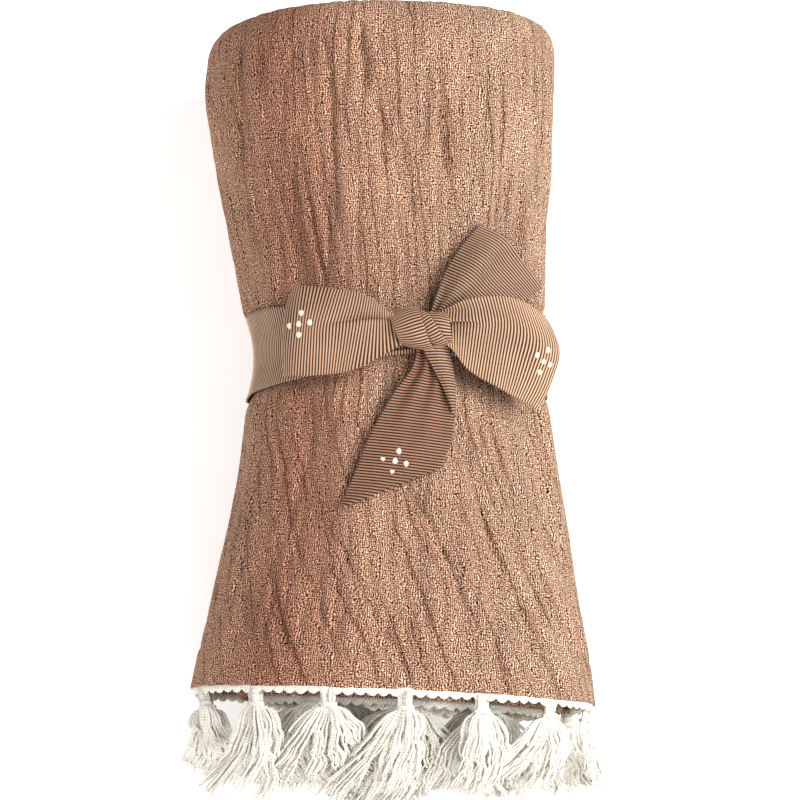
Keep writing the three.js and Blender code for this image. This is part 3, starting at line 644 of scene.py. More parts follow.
wrap = {
    "columns": 372,
    "rows": 222,
    "underside": 0.3,  # columns under the roll are this much sparser, and less so at its sides
    "foldLength": 10,  # the head fold starts to round this far from the end
    "foldShare": 0.62,  # thickness of the fold at the head, as a share of one turn
    "hemThickness": 4.2,
    "tuck": 9,  # how far the cloth runs on into the grooves at the ends
    "edgeBulge": 0.005,  # roundness of the loose edge, in turns
    "lap": 1.05,
}
crinkles = {
    "pillowAcross": 8.2,
    "pillowAlong": 46,
    "pillowDepth": 1.25,
    "fineAcross": 3.9,
    "fineAlong": 17,
    "fineDepth": 0.5,
    "broadDepth": 1.1,
    "wander": 2.4,
    "hemBand": 18,  # the stitched band along the hem lies flatter
    "stitchDepth": 0.5,
}


def spacedTurns(first, last, count):  # turns at even steps round the roll, sparser underneath
    dense = np.linspace(first, last, 2000)
    x, z = outlineAt(sectionAt(-100.0), windingAngle(dense), 1.0)
    steps = np.hypot(np.diff(x), np.diff(z))
    steps *= mix(wrap["underside"], 1, 0.4 * ease((z[1:] - 12) / 25) + 0.6 * ease((z[1:] - 55) / 20))
    length = runningSum(steps)
    return np.interp(np.linspace(0, length[-1], count), length, dense)


def crinkleHeight(u, v, fromHem):  # pillows between pinched valleys that run along the roll
    c = crinkles
    bent = u + c["wander"] * smoothNoise(u / 13, v / 21, 3) + 0.7 * smoothNoise(u / 5, v / 8, 4)
    pillow = smoothNoise(bent / c["pillowAcross"], v / c["pillowAlong"], 5)
    fine = smoothNoise(bent / c["fineAcross"], v / c["fineAlong"], 6)
    broad = smoothNoise(u / 24, v / 60, 7)
    strength = 0.65 + 0.5 * smoothNoise(u / 31, v / 37, 8)
    valleys = np.exp(-((pillow / 0.16) ** 2)) * strength
    height = c["pillowDepth"] * (abs(pillow) ** 0.7 - 0.45 - 0.62 * valleys)
    height += c["fineDepth"] * (abs(fine) ** 0.8 - 0.4) * (0.7 + 0.6 * smoothNoise(u / 17, v / 19, 9))
    height += c["broadDepth"] * broad
    flatter = mix(0.35, 1, ease((fromHem - c["hemBand"] + 2) / 5))
    return height * flatter - c["stitchDepth"] * np.exp(-(((fromHem - c["hemBand"]) / 0.9) ** 2))


def wrapGrid():
    w = wrap
    edgeBend, foldBend = np.linspace(0, math.pi, 7), np.linspace(0, math.pi, 15)
    hemBend = edgeBend[::-1]
    rolledEdge = -w["edgeBulge"] * np.sin(edgeBend)
    around = np.concatenate([[0.03, 0.012], rolledEdge, spacedTurns(0, w["lap"], w["columns"])[1:]])[None, :]
    tucked = np.concatenate([[1, 1], (1 + np.cos(edgeBend)) / 2, np.zeros(w["columns"] - 1)])
    startFold = headY - w["foldLength"]
    skinRows = np.linspace(footY, startFold, w["rows"])[1:-1]
    hem, fold = np.full(len(hemBend), footY), np.full(len(foldBend) + 2, startFold)
    y = np.concatenate([[footY + w["tuck"], footY + 4], hem, skinRows, fold])[:, None]
    beforeFold, afterHem = np.zeros(len(y) - len(fold)), np.zeros(len(y) - len(hem) - 2)
    hemShare = np.concatenate([[1, 1], (1 - np.cos(hemBend)) / 2, afterHem])
    fade = 1 - ease((skinRows - footY) / 18)
    hemOut = np.concatenate([[0, 0.4], np.ones(len(hem)), fade, np.zeros(len(fold))])
    hemRound = np.concatenate([[0, 0], np.sin(hemBend), afterHem])
    foldShare = np.concatenate([beforeFold, (1 - np.cos(foldBend)) / 2, [1, 1]])
    foldOut = np.concatenate([beforeFold, np.sin(foldBend), [0, 0]])
    tuckOut = np.concatenate([np.zeros(len(y) - 2), [-3, w["tuck"] * -0.8]])
    section = sectionAt(y)
    x, z = outlineAt(section, windingAngle(around), 1.0)
    radius = np.hypot(x - section["centreX"], z - section["middleZ"])
    edgeThickness = blanket["pitch"] * blanket["edgeThickness"] * readTable(sections, "step", y) * radius
    foldThickness = w["foldShare"] * blanket["pitch"] * radius
    inset = foldShare[:, None] * foldThickness + hemShare[:, None] * w["hemThickness"]
    points = skinAt(around, y, mix(inset, np.maximum(edgeThickness, inset), tucked))
    headReach = w["foldLength"] + standsOut(ends["head"], around)
    points[..., 1] += foldOut[:, None] * headReach + tuckOut[:, None]
    points[..., 1] -= hemOut[:, None] * standsOut(ends["foot"], around) + hemRound[:, None] * 0.5
    return points, y


def muslinWrap():
    points, y = wrapGrid()
    uv = gridUv(points)
    x, z = points[..., 0], points[..., 2]
    section = sectionAt(y)
    underBand = ease((ribbon["width"] / 2 + 3 - abs(points[..., 1] - bandY(x))) / 5)
    offFloor = ease((z - section["bottom"]) / 10)
    height = crinkleHeight(uv[..., 0], uv[..., 1], y - footY + 0 * x)
    height = height * offFloor * mix(1, 0.3, ease((y - 128) / 12))  # flatter by the head fold
    height = height * (1 - 0.75 * underBand) - 0.9 * underBand * offFloor
    wiggle = 1.3 * smoothNoise(x / 40, y / 9, 12)
    creases = creaseDepth(sharpCreases, x + wiggle, y) * creasesShow(section, y, z)
    height -= creases * (1 - underBand)
    normals = gridNormals(points)
    outward = asPoints(x - section["centreX"], 0 * x, z - section["middleZ"])
    normals *= np.sign(np.median((normals * outward).sum(axis=2)))
    points = points + normals * height[..., None]
    points[..., 2] = np.maximum(points[..., 2], 0)
    piece = makePiece("muslin_wrap", points, gridFaces(*points.shape[:2]), uv, muslinCloth)
    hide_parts("blanket_roll")


muslinWrap()
print("muslin wrap made")

# inner turns: what shows of the wound blanket at each end of the roll

innerTurns = {
    "columns": 150,  # steps round each turn
    "turns": 3.3,
    "slim": {"from": 0.66, "to": 0.97, "back": 2.6},  # the smaller ply of each turn
    "base": 8.5,
    "crinkle": 0.55,
}


def turnProfile(end, main):  # across one turn: the slim ply, then the main ply of the next turn
    slim = innerTurns["slim"]
    bend = np.linspace(0, math.pi, 9)
    shares, heights = [], []
    for first, last, back in ((slim["from"], slim["to"], slim["back"]), (1.0, 1.0 + main, 0.0)):
        shares.append(mix(first, last, (1 - np.cos(bend)) / 2))
        crest = end["crest"] - back
        heights.append(-innerTurns["base"] + (crest + innerTurns["base"]) * np.sin(bend) ** 0.8)
    return np.concatenate(shares), np.concatenate(heights)


def endFolds(name, end, endY, outward, main):
    count = int(innerTurns["columns"] * innerTurns["turns"])
    turns = np.linspace(0, innerTurns["turns"], count)[None, :]
    share, height = (part[:, None] for part in turnProfile(end, main))
    scale = mix(windingScale(turns, 1), windingScale(turns + 1, 1), share)
    x, z = outlineAt(sectionAt(endY), windingAngle(turns), scale)
    reach = np.where(share < 1, turnReach(end, turns), turnReach(end, turns + 1))
    u = np.cumsum(np.hypot(*np.gradient(np.stack([x[9], z[9]]), axis=1)))[None, :] + 0 * share
    v = np.cumsum(np.abs(np.gradient(height[:, 0])) + 0.8)[:, None] + 0 * turns
    rough = smoothNoise(u / 7, v / 6 + 3 * turns, 21) + 0.6 * smoothNoise(u / 3.2, v / 4, 22)
    y = endY + outward * (height + reach + innerTurns["crinkle"] * rough)
    points = asPoints(x, y + skewAt(x, endY), np.maximum(z, 0))
    piece = makePiece(name, points, gridFaces(*points.shape[:2]), asPoints(u, v), muslinCloth)


endFolds("head_folds", ends["head"], headY, 1, 0.62)
endFolds("hem_plies", ends["foot"], footY, -1, 0.34)

packedCloth = {  # the pressed turns behind the folds: how wide each ring is and how deep it lies
    "scale": [0.1, 0.4, 0.7, 0.95, 0.95, 0.7, 0.1],
    "depth": [5.5, 6.5, 7.5, 8.0, 14, 14, 14],
    "columns": 72,
}


def packedTurns(name, endY, outward):
    scale, depth = (np.array(packedCloth[key])[:, None] for key in ("scale", "depth"))
    angle = aroundOnce(packedCloth["columns"])[None, :]
    x, z = outlineAt(sectionAt(endY), angle, scale)
    y = endY - outward * (depth + 0.4 * smoothNoise(x / 9, z / 7, 31)) + skewAt(x, endY)
    faces = closedFaces(*x.shape)
    if outward < 0:
        faces = [face[::-1] for face in faces]
    makePiece(name, asPoints(x, y, z), faces, asPoints(x, z), muslinCloth)


packedTurns("packed_head", headY, 1)
packedTurns("packed_hem", footY, -1)
print("inner turns made")

# hem: points along one turn of it


def hemLine(firstTurn, scale):
    turns = np.linspace(firstTurn, firstTurn + 1, 481)
    middle = windingScale(turns, 1)
    middle = middle - blanket["pitch"] / 2 if firstTurn > 0 else middle * scale
    x, z = outlineAt(sectionAt(footY), windingAngle(turns), middle)
    return {"x": x, "z": z, "turns": turns, "length": runningSum(np.hypot(np.diff(x), np.diff(z)))}


def hemEnd(x, turns):  # how far along the roll its hem ends
    return footY + skewAt(x, footY) - standsOut(ends["foot"], turns)


def alongHem(line, at):
    def spotAt(place):
        return {key: np.interp(place, line["length"], line[key]) for key in ("x", "z", "turns")}

    ahead, behind = spotAt(at + 1), spotAt(at - 1)
    alongX, alongZ = ahead["x"] - behind["x"], ahead["z"] - behind["z"]
    size = np.maximum(np.hypot(alongX, alongZ), 1e-6)
    return {**spotAt(at), "alongX": alongX / size, "alongZ": alongZ / size}


# edging: a whip-stitched cream trim, scalloped along its free side, on each turn of the hem

edging = {
    "scallop": 5.2,
    "valley": 1.9,
    "peak": 3.5,
    "thickness": 1.35,
    "overlap": 0.9,
    "stepsPerScallop": 10,
    "sides": 14,
    "centre": 0.968,  # its middle runs at this share of the roll's radius
    "unevenness": 0.16,
    "strand": 0.16,  # height of the whip stitch
    "strandPitch": 0.9,
}


def edgingStrip(firstTurn):
    e = edging
    line = hemLine(firstTurn, e["centre"])
    total = line["length"][-1]
    at = np.linspace(0.5, total - 0.5, int(total / e["scallop"]) * e["stepsPerScallop"])
    spot = alongHem(line, at)
    phase = turn * at / e["scallop"] + 0.9 * smoothNoise(at / 9, 0 * at, 31 + int(firstTurn))
    lobe = abs(np.cos(phase / 2)) ** 0.8
    size = 1 + e["unevenness"] * smoothNoise(at / 7, 0 * at, 33)
    high = mix(e["valley"], e["peak"], lobe) * size
    thick = e["thickness"] * mix(0.72, 1.0, lobe) * size
    angle = aroundOnce(e["sides"])[:, None]
    out = (high - e["overlap"]) / 2 + (high + e["overlap"]) / 2 * np.cos(angle)
    strand = e["strand"] * np.sin(turn * at / e["strandPitch"] + 2.2 * angle)
    side = thick * np.sin(angle) * mix(1.0, 0.8, (np.cos(angle) + 1) / 2) + strand * np.sin(angle)
    x = spot["x"] + spot["alongZ"] * side
    z = np.maximum(spot["z"] - spot["alongX"] * side, 0.1)
    y = hemEnd(x, spot["turns"]) - out - strand * np.cos(angle)
    uv = asPoints(*np.meshgrid(angle * e["thickness"], at))
    return asPoints(x, y, z).transpose(1, 0, 2), uv


def hemEdging():
    for name, firstTurn in (("edging_outer", 0), ("edging_second", 1), ("edging_third", 2)):
        points, uv = edgingStrip(firstTurn)
        piece = makePiece(name, points, closedFaces(*points.shape[:2]), uv, cottonYarn)
        if firstTurn == 0:
            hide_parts("hem_edging")


hemEdging()
print("hem edging made")

# tassels: a bound neck of threads looped over the edging, then a loose fan

tassel = {
    "threads": 70,
    "clumps": 7,
    "threadRadius": 0.56,
    "steps": 24,
    "sides": 5,
    "rootScale": 0.94,
    "spread": 46,
    "reach": 43,
    "sideReach": 30,
    "sideDrift": 7,
    "sideLean": 4,  # at both sides of the roll they lie this much further to the right
    "sideFrom": 66,
    "sideTo": 94,
    "sideDrop": 16,
    "sideSpread": 27,
    "bound": (0.045, 0.08),  # where the winding round the neck starts and ends
    "neckWidth": 3.4,
    "neckDepth": 1.8,
    "seat": 0.35,
    "trim": 4.9,
    "overEdging": 4.4,
    "clumpCurl": 5.0,
    "strayCurl": 9.0,
    "sway": 14,
    "bow": 7,  # how far a whole tassel bends to one side on its way
    "innerWider": 1.75,
    "windings": 3.2,
    "windingSteps": 60,
    "windingRadius": 0.5,
}
tasselTips = {"y": [0, 6, 22, 38, 56, 76, 92, 108], "height": [0, 0, 8, 17, 29, 45, 60, 77]}
tasselTurns = {"turn": [0, 1, 2], "pitch": [33.6, 42, 62], "first": [13, 26, 40]}


def tasselRoots():
    roots = []
    for firstTurn, pitch, first in zip(*tasselTurns.values()):
        line = hemLine(firstTurn, tassel["rootScale"])
        seat = tassel["seat"] + (tassel["trim"] if firstTurn == 0 else 0)
        for at in np.arange(first, line["length"][-1] - 8, pitch):
            root = alongHem(line, at)
            root["y"] = hemEnd(root["x"], root["turns"]) - seat
            root["onOuterTurn"] = firstTurn == 0
            roots.append(root)
    return roots


def uneven(seed):  # a repeatable number from -1 to 1
    value = math.sin(seed * 127.1 + 11.7) * 43758.5453
    return 2 * (value - math.floor(value)) - 1


def tasselLie(root, seed):
    t = tassel
    fromCentre = root["x"] - sectionAt(footY)["centreX"]
    side = ease((abs(fromCentre) - t["sideFrom"]) / (t["sideTo"] - t["sideFrom"]))
    rest = t["threadRadius"] + 0.1
    tip = max(readTable(tasselTips, "height", root["z"]) - t["sideDrop"] * side, rest)
    level = ease((16 - tip) / 10)
    direction = np.sign(root["alongX"] * root["alongZ"]) or 1
    alongX, alongZ = abs(root["alongX"]), abs(root["alongZ"])
    fan = unit(np.array([mix(alongX, 1, level), 0, mix(alongZ, 0, level) * direction]))
    wider = (1 if root["onOuterTurn"] else t["innerWider"]) * (1.05 + 0.2 * uneven(seed + 60))
    return {
        "rest": rest,
        "reach": mix(t["reach"], t["sideReach"], side) * (0.92 + 0.12 * uneven(seed + 17)),
        "spread": mix(t["spread"], t["sideSpread"], side) * wider,
        "bow": t["bow"] * uneven(seed + 81) * (1 - side),
        "fan": fan,
        "layer": np.array([-fan[2], 0, fan[0]]),
        "drift": side * (np.sign(fromCentre) * t["sideDrift"] + t["sideLean"]) + 2.5 * uneven(seed),
        "sway": t["sway"] * uneven(seed + 40) * (1 - side),
        "drop": root["z"] - tip,
    }


def fanPlace(root, lie, at, drift, across, above, length=1):  # at along a tassel's fan, across and above it
    fall = at**1.5
    x = root["x"] + drift * fall + across * lie["fan"][0] + above * lie["layer"][0]
    y = root["y"] - lie["reach"] * at * (1.15 - 0.15 * at) * length
    z = root["z"] - lie["drop"] * fall + across * lie["fan"][2] + above * lie["layer"][2]
    return x, y, z


def threadPaths(root, lie, seed):  # threads in a few clumps, each with its own curl
    t = tassel
    dice = np.random.default_rng(100 + seed)
    clump = np.arange(t["threads"]) % t["clumps"]

    def perClump(size):
        return dice.uniform(-size, size, (t["clumps"], 1))[clump]

    def perThread(size):
        return dice.uniform(-size, size, (t["threads"], 1))

    share = np.linspace(0, 1, t["steps"])[None, :]
    at = share * (0.92 + perClump(0.13) + perThread(0.05))
    side = ((clump[:, None] + 0.5) / t["clumps"] * 2 - 1) * 0.86 + perThread(0.24)
    layer = perClump(0.75) + perThread(0.35)
    opened = np.clip((at - t["bound"][1]) / (1 - t["bound"][1]), 0, 1.1) ** 0.48
    pinch = 1 - 0.3 * np.exp(-(((at - t["bound"][0] - 0.018) / 0.03) ** 2))
    stray = perClump(1.0)
    curl = (t["clumpCurl"] * stray + t["strayCurl"] * stray**3) * ease((at - 0.12) / 0.88) ** 1.3
    waves = 0
    for size, period in ((1.2, 0.6), (0.7, 0.27)):
        waves = waves + size * np.sin(turn * (at / period + perClump(0.5) + perThread(0.09)))
    kinks = np.sin(turn * (at / 0.13 + perThread(0.5)))
    across = mix(side * t["neckWidth"] * pinch, side * lie["spread"] / 2, opened)
    across = across + curl + opened * (1.1 * waves + 0.34 * kinks)
    across = across + lie["bow"] * np.sin(math.pi * np.clip(at, 0, 1)) ** 2
    rise = np.sin(turn * (at / 0.5 + perThread(0.5))) + perClump(1.0)
    above = mix(layer * t["neckDepth"] * pinch, layer * 3.2, opened) + 0.8 * opened * rise
    outerShorter = 1 - 0.26 * side**2 * opened
    x, y, z = fanPlace(root, lie, at, lie["drift"] + lie["sway"], across, above, outerShorter)
    y = y + opened * (0.8 * waves + 0.2 * kinks)
    if root["onOuterTurn"]:  # the neck's threads come over the edging from the cloth
        over = ease((0.07 - share) / 0.07)
        y = y + over * t["overEdging"]
        x = x + root["alongZ"] * 1.9 * over
        z = z - root["alongX"] * 1.9 * over
    return asPoints(x, y, np.maximum(z, lie["rest"]))


def threadTubes(paths, radii, sides):  # round threads along paths, closed at both ends
    ahead = unit(np.gradient(paths, axis=1))
    helper = np.where(abs(ahead[..., 2:]) > 0.9, [1.0, 0, 0], [0, 0, 1.0])
    across = unit(np.cross(ahead, helper))
    above = np.cross(across, ahead)
    angle = aroundOnce(sides)
    ring = across[:, :, None] * np.cos(angle)[:, None] + above[:, :, None] * np.sin(angle)[:, None]
    points = paths[:, :, None] + ring * radii[None, :, None, None]
    threads, steps = paths.shape[:2]
    faces = []
    for k in range(threads):
        faces += closedFaces(steps, sides, k * steps * sides)
    length = np.cumsum(np.linalg.norm(np.gradient(paths, axis=1), axis=2), axis=1)
    uv = asPoints(*np.broadcast_arrays(angle * radii.max(), length[..., None]))
    return points, faces, uv


def bindingPath(root, lie):  # the thread wound round the neck
    t = tassel
    wraps = np.linspace(0, t["windings"], t["windingSteps"])
    at = mix(*t["bound"], wraps / t["windings"])
    across = (t["neckWidth"] + 0.2) * np.cos(turn * wraps)
    above = (t["neckDepth"] + 0.5) * np.sin(turn * wraps)
    x, y, z = fanPlace(root, lie, at, lie["drift"], across, above)
    return asPoints(x, y, np.maximum(z, lie["rest"]))[None]


def makeTassel(number, root):
    t = tassel
    lie = tasselLie(root, number)
    radii = t["threadRadius"] * np.array([0.8] + [1.0] * (t["steps"] - 3) + [0.9, 0.35])
    points, faces, uv = threadTubes(threadPaths(root, lie, number), radii, t["sides"])
    radii = np.full(t["windingSteps"], t["windingRadius"])
    binding, more, moreUv = threadTubes(bindingPath(root, lie), radii, t["sides"])
    shift = points.size // 3
    faces += [[corner + shift for corner in face] for face in more]
    points = np.concatenate([points.reshape(-1, 3), binding.reshape(-1, 3)])
    uv = np.concatenate([uv.reshape(-1, 2), moreUv.reshape(-1, 2)])
    piece = makePiece(f"threads_{number:02d}", points, faces, uv, cottonYarn)
    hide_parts(f"tassel_{number:02d}")


for number, root in enumerate(tasselRoots(), 1):
    makeTassel(number, root)
print("tassels made")

# ribbon: the band, two loops, two free ends with a turned-over strip, and the knot

leftLoop = {
    "upper": [(11, 2, 107), (1, 5, 109), (-11, 13, 110), (-25, 16, 110), (-39, 18, 107), (-43, 19, 103),
              (-38, 17, 99), (-20, 12, 104), (2, 4, 105), (11, 2, 103.5)],
    "pleat": [(11, -1, 106), (2, 2, 107), (-13, 3, 108), (-30, 0, 111), (-41, 0, 110), (-47, 1, 105),
              (-41, 1, 100), (-20, 2, 104.5), (2, -1, 105), (11, -1, 103.5)],
    "lower": [(12, -5, 106), (5, -9, 107), (-17, -20, 106), (-31, -22, 105), (-43, -22, 103), (-47, -21, 98),
              (-42, -18, 95), (-20, -10, 103), (4, -6, 104.5), (11, -4, 103.5)],
    "tuck": [0.6, 1.0, 0.85, 0.1, 0.0, 0.0, 0.0, 0.2, 0.4, 0.4],
    "bulge": 0.0,  # the far end is this much rounder across
    "tone": "shaded",
}
rightLoop = {
    "upper": [(17, 3, 107), (25, 7, 109.5), (35, 11, 112.5), (50, 12, 113), (62, 9, 110.5),
              (71.5, 2.5, 103.5), (66, 5, 98), (47, 7, 104), (27, 4, 105.5), (18, 2, 103.5)],
    "pleat": [(17, -1, 106), (25, 4, 107), (38, 2, 110.5), (53, -1, 112), (67, -9, 109.5), (74.6, -12, 103),
              (69, -10, 98), (47, -5, 104), (27, -1, 105), (18, -1, 103.5)],
    "lower": [(17, -5, 106), (26.5, -10, 107), (35, -20.3, 107), (48, -27.8, 105), (58.5, -33, 102),
              (66.5, -36, 96), (61, -31, 93), (45, -19, 101), (27, -5, 105), (18, -4, 103.5)],
    "tuck": [0.6, 0.8, 0.35, 0.0, 0.0, 0.0, 0.0, 0.2, 0.4, 0.4],
    "bulge": 2.0,
    "tone": "plain",
}
upperTail = {
    "left": [(17, 1, 5), (19, 9, 5), (25, 25.5, 3.6), (31.8, 37, 2.6), (40, 47.5, 2.2)],
    "inner": [(18.5, 0.5, 5), (23, 7.5, 6.5), (34, 20.5, 8.8), (42, 31, 9), (51.5, 42, 7.6)],
    "outer": [(20, 0, 5), (27, 4.5, 4.4), (41, 16, 2.0), (48, 26, 1.8), (58.5, 36, 3.0)],
    "right": [(21, -1, 5), (31, 0, 5), (51, 6, 7), (60, 14, 9), (69.5, 22.5, 11)],
}
lowerTail = {
    "left": {"y": [-81, -62, -48, -31, -18, -3], "x": [-21.5, -14, -8.5, 1, 10, 14]},
    "right": {"y": [-81, -63, -50, -38, -20, -3], "x": [16.5, 23, 27.6, 28.4, 28, 25]},
    "lift": {"y": [-81, -48, -31, -18, -3], "z": [2.1, 1.9, 2.2, 3.6, 5]},
    "ribSlope": -0.12,
    "cutFrom": (23.2, -63.4),
    "cutTo": (-21.8, -82),
    "crown": 0.8,
}
turnedStrip = {
    "left": [(13.3, -4, 7.6), (14.6, -10, 7.6), (19.8, -20, 6.6), (24.6, -30, 5.2), (27.4, -38.5, 3.4)],
    "middle": [(19, -4, 9), (20.5, -10, 8.8), (24, -20, 7.6), (26.8, -30, 5.8), (28.2, -38.5, 3.6)],
    "right": [(25, -4, 7), (26.2, -10, 6.4), (28.2, -20, 5), (29, -30, 3.8), (29, -38.5, 2.9)],
}


def smoothLine(points, count):  # a curve through the points, at even steps of its own measure
    points = np.array(points, float)
    knots = runningSum(stepLengths(points, 0) ** 0.5)
    at = np.interp(np.linspace(0, len(points) - 1, count), np.arange(len(points)), knots)
    return asPoints(*(readTable({"y": knots, "value": column}, "value", at) for column in points.T))


def evenRows(points, spacing):  # rows at an even spacing along the cloth
    along = np.diff(points, axis=0)
    across = unit(points[:, -1] - points[:, 0])[1:, None]
    square = along - (along * across).sum(axis=2, keepdims=True) * across
    length = runningSum(np.linalg.norm(square, axis=2).mean(axis=1))
    at = np.arange(0, length[-1], spacing)
    columns = points.reshape(len(points), -1).T
    rows = np.stack([np.interp(at, length, column) for column in columns], axis=-1)
    return rows.reshape(len(at), *points.shape[1:])


def acrossCurve(controls, count):  # smooth across a row: controls is a list of point rows
    controls = np.stack(controls, axis=1)
    order = np.arange(controls.shape[1])
    at = np.linspace(0, order[-1], count)
    k = np.minimum(at.astype(int), order[-1] - 1)
    t = (at - k)[None, :, None]
    before, after = controls[:, np.maximum(k - 1, 0)], controls[:, np.minimum(k + 2, order[-1])]
    a, b = controls[:, k], controls[:, k + 1]
    slopeA, slopeB = (b - before) / 2, (after - a) / 2
    return mix(a, b, t * t * (3 - 2 * t)) + t * (1 - t) * ((1 - t) * slopeA - t * slopeB)


def ribbonPiece(name, points, width=ribbon["width"], front=1.0, tone="plain"):
    pitch = ribbonLook["ribPitch"]
    spacing = pitch / ribbon["stepsPerRib"]
    rows = evenRows(points, spacing)
    normals = gridNormals(rows)
    normals *= np.sign(normals[: int(len(rows) * front), :, 2].sum())  # ribs stand out on the front
    v = np.arange(len(rows)) * spacing
    rows = rows + normals * (ribbon["ribHeight"] * np.sin(turn * v / pitch))[:, None, None]
    uv = asPoints(*np.meshgrid(np.linspace(0, width, rows.shape[1]), v))
    piece = makePiece(name, rows, gridFaces(*rows.shape[:2]), uv, ribbonCloth[tone])
    solidify = piece.modifiers.new("thickness", "SOLIDIFY")
    solidify.thickness = ribbon["thickness"] * mm
    solidify.offset = 0
    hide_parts("ribbon_tie")
    return rows


def bowLoop(name, table):
    upper, pleat, lower = (smoothLine(table[key], 400) for key in ("upper", "pleat", "lower"))
    spots = np.arange(len(table["tuck"]))
    row = np.linspace(0, spots[-1], 400)
    tuck = np.interp(row, spots, table["tuck"])[:, None]
    normal = unit(np.cross(np.gradient(pleat, axis=0), lower - upper))
    downward = unit(lower - pleat)
    controls = [
        upper,
        mix(upper, pleat, 0.45) + normal * (0.6 + 0.9 * tuck),
        mix(upper, pleat, 0.84) + (downward * 4.2 - normal * 2.6) * tuck + normal * 0.3 * (1 - tuck),
        mix(pleat, lower, 0.12) + (normal * 1.5 - downward * 1.6) * tuck,
        mix(pleat, lower, 0.4) + normal * (0.5 + 0.8 * tuck),
        mix(pleat, lower, 0.7) + normal * 0.5,
        lower,
    ]
    bulge = table["bulge"] * ease(1 - abs(row - 5) / 2)
    for control, share in zip(controls, (-0.6, 0.5, 0.6, 0.6, 0.9, 0.7, -0.4)):
        control[:, 0] += bulge * share
    return ribbonPiece(name, acrossCurve(controls, 37), front=0.4, tone=table["tone"])


def freeEnd(name, table, crown, pleat, width=ribbon["width"]):
    lines = []
    for spots in table.values():
        lines.append(smoothLine([(x, y, topAt(x, y) + lift) for x, y, lift in spots], 200))
    for line in lines[1:-1]:
        line[:, 2] += crown
    rows = acrossCurve(lines, ribbon["across"])
    # the free ends take a darker copy of the ribbon: painted shade
    return ribbonPiece(name, pleated(rows, pleat, width), width, tone="half_shade")


def pleated(rows, pleat, width):  # lengthwise pleats take up what a narrow row has to spare
    spare = np.clip(1 - stepLengths(rows, 1).sum(axis=1)[:, None] / width, 0, 1)
    share = np.linspace(0, 1, rows.shape[1])[None, :]
    rows[..., 2] += pleat * spare * np.cos(turn * 3 * share)
    return rows


def cutEnd(name, table, pleat):  # a free end cut off at a slant, its ribs still square to it
    leftY = np.linspace(table["left"]["y"][-1], table["left"]["y"][0], 400)[:, None]
    leftX = readTable(table["left"], "x", leftY)
    slope = table["ribSlope"] * ease((leftY[0] - leftY) / 20)
    rightX = leftX + 10
    for _ in range(4):
        rightX = readTable(table["right"], "x", leftY + slope * (rightX - leftX))
    (fromX, fromY), (toX, toY) = table["cutFrom"], table["cutTo"]
    cutSlope = (fromY - toY) / (fromX - toX)
    cutX = (leftY - fromY + cutSlope * fromX - slope * leftX) / (cutSlope - slope)
    endX = np.maximum(np.minimum(rightX, cutX), leftX + 0.4)
    share = np.linspace(0, 1, 34)[None, :]
    x = mix(leftX, endX, share)
    y = leftY + slope * (x - leftX)
    z = topAt(x, y) + readTable(table["lift"], "z", y) + table["crown"] * np.sin(math.pi * share)
    uncut = ribbon["width"] * (endX - leftX) / (rightX - leftX)
    # the lower free end takes the darkest copy of the ribbon: painted shade
    return ribbonPiece(name, pleated(asPoints(x, y, z), pleat, uncut), tone="deep_shade")


# the knot's middle and its half sizes
knot = {"x": 13.7, "y": -1.3, "z": 106, "halfLength": 14.6, "halfWidth": 7.3, "halfHeight": 6.6}


def waistBand():
    turns = np.linspace(0, 0.985, 361)[:-1, None]
    middle = skinAt(turns, ribbon["bandY"])
    x = middle[..., 0]
    onTop = ease((middle[..., 2] - 50) / 10)
    gathered = onTop * ease(1 - abs(x - knot["x"]) / ribbon["gatherReach"])
    half = mix(ribbon["width"], ribbon["knotWidth"], gathered) / 2
    out = -ribbon["gap"] - ribbon["thickness"] / 2
    low, mid, high = (skinAt(turns, bandY(x) + side * half, out) for side in (-1, 0, 1))
    share = np.linspace(-1, 1, 31)[None, :, None]
    points = mid + (high - low) / 2 * share + ((high + low) / 2 - mid) * share**2
    pleats = np.cos(turn * 2.5 * share[..., 0] + 0.6)
    points[..., 2] += gathered * (ribbon["knotRise"] + ribbon["gatherPleat"] * gathered * pleats)
    points = np.concatenate([points, points[:1]])
    ribbonPiece("waist_band", points, front=0.4)


waistBand()
leftRows = bowLoop("loop_left", leftLoop)
rightRows = bowLoop("loop_right", rightLoop)
freeEnd("tail_upper", upperTail, 0.2, 2.6)
lowerRows = cutEnd("tail_lower", lowerTail, 2.2)
freeEnd("tail_strip", turnedStrip, 0.2, 0.3, 11)
print("band, loops and free ends made")

# knot: the ribbon wrapped over the middle, with a pinched fold slanting across it; the edges of
# each part are given at the knot's upper and lower side

knotParts = {  # left edge, right edge, slant of the ribs, rise of both edges, and width
    "knot_right": ((10.5, 25.5), (25.6, 27.8), -0.2, (-1.5, -0.5), 12),
    "knot_fold": ((8.2, 17.5), (11.8, 26.8), 0.5, (-1.2, 0.5), 10),
    "knot_left": ((-1.4, 5.8), (9.4, 19.2), 0.42, (-0.5, 1.5), 20),
}


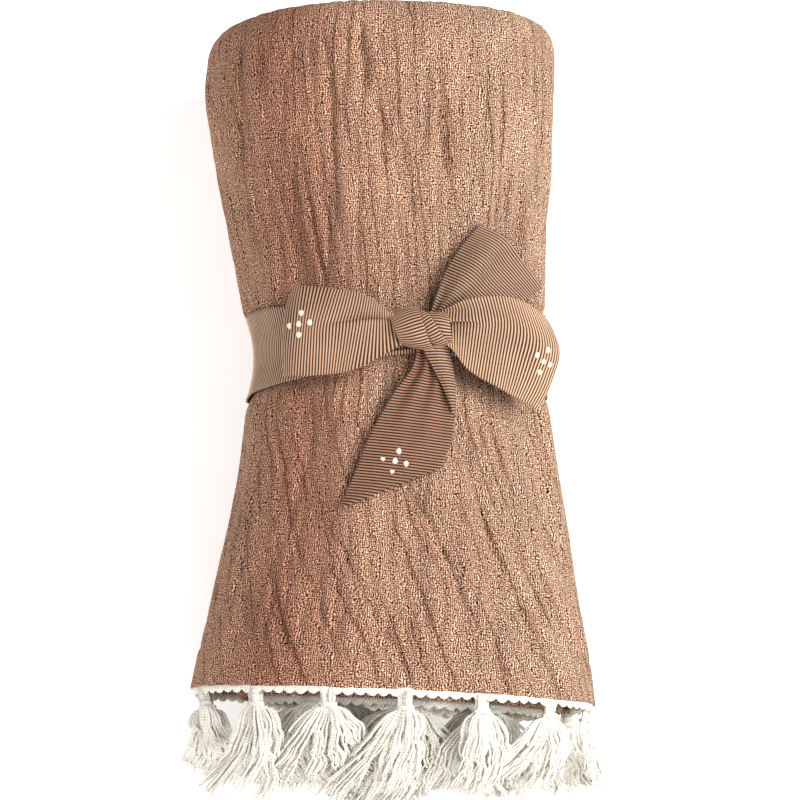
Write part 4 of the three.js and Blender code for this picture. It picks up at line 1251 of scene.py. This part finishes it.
def knotPart(name, left, right, ribs, lifts, width):
    wrapAngle = np.linspace(-0.64 * math.pi, 0.64 * math.pi, 110)[:, None]
    share = np.linspace(0, 1, 20)[None, :]
    down = (1 - wrapAngle / (math.pi / 2)) / 2
    x = mix(mix(*left, down), mix(*right, down), share)
    angle = wrapAngle + ribs * (share - 0.5)
    barrel = np.sqrt(1 - 0.42 * np.clip(abs(x - knot["x"]) / knot["halfLength"], 0, 1) ** 3)
    lift = mix(*lifts, share) + 0.9 * np.sin(math.pi * share) ** 0.7
    y = knot["y"] + np.sin(angle) * (knot["halfWidth"] + lift) * barrel
    z = knot["z"] + np.cos(angle) * (knot["halfHeight"] + lift) * barrel
    ribbonPiece(name, asPoints(x, y, z)[::-1], width, tone="shaded")


for name, part in knotParts.items():
    knotPart(name, *part)
print("knot made")

# print: five dots in a cross, here and there on the ribbon

dotPrint = {
    "radius": 1.44,
    "squash": 0.84,
    "thickness": 0.16,
    "sides": 16,
    "crosses": {  # the middle of each, and its five dots from there
        "dots_left": ((-40.4, 0.1), [(0, 0), (4.9, 0.4), (-4, -0.9), (1.3, 4.9), (0, -5.3)]),
        "dots_right": ((68.1, -15.9), [(0, 0), (1.8, 4.5), (-3.1, 2.3), (2.7, -1.8), (-1.8, -4.5)]),
        "dots_lower": ((2.3, -60.8), [(0, 0), (1.3, 4.5), (-4.9, 0.9), (4.9, -0.9), (-1.3, -4.5)]),
    },
}


def dotCross(name, rows, centre, arms):
    d = dotPrint
    normals = gridNormals(rows)
    normals *= np.sign(normals[..., 2:])
    flat, up = rows.reshape(-1, 3), normals.reshape(-1, 3)
    angle = aroundOnce(d["sides"])
    low = ribbon["thickness"] / 2 + 0.06
    rings = ((1.0, low - 0.1), (0.96, low + d["thickness"] * 0.7), (0.7, low + d["thickness"]))
    points, faces = [], []
    for number, arm in enumerate(arms):
        spot = np.argmin(np.hypot(*(flat[:, :2] - np.add(centre, arm)).T))
        side = np.cross(up[spot], [0, 1.0, 0])
        ahead = np.cross(up[spot], side)
        faces += closedFaces(len(rings), d["sides"], len(points))
        for reach, height in rings:
            for k in angle + 0.4 * uneven(number + 3):
                wide = d["radius"] * reach * (1 + 0.07 * math.sin(3 * k + number))
                offset = side * math.cos(k) * wide * d["squash"] + ahead * math.sin(k) * wide
                points.append(flat[spot] + offset + up[spot] * height)
    points = np.array(points)
    makePiece(name, points, faces, points[:, :2], creamPrint)


for (name, cross), rows in zip(dotPrint["crosses"].items(), (leftRows, rightRows, lowerRows)):
    front = rows if rows is lowerRows else rows[: len(rows) // 2]
    dotCross(name, front, *cross)
print("dots made")
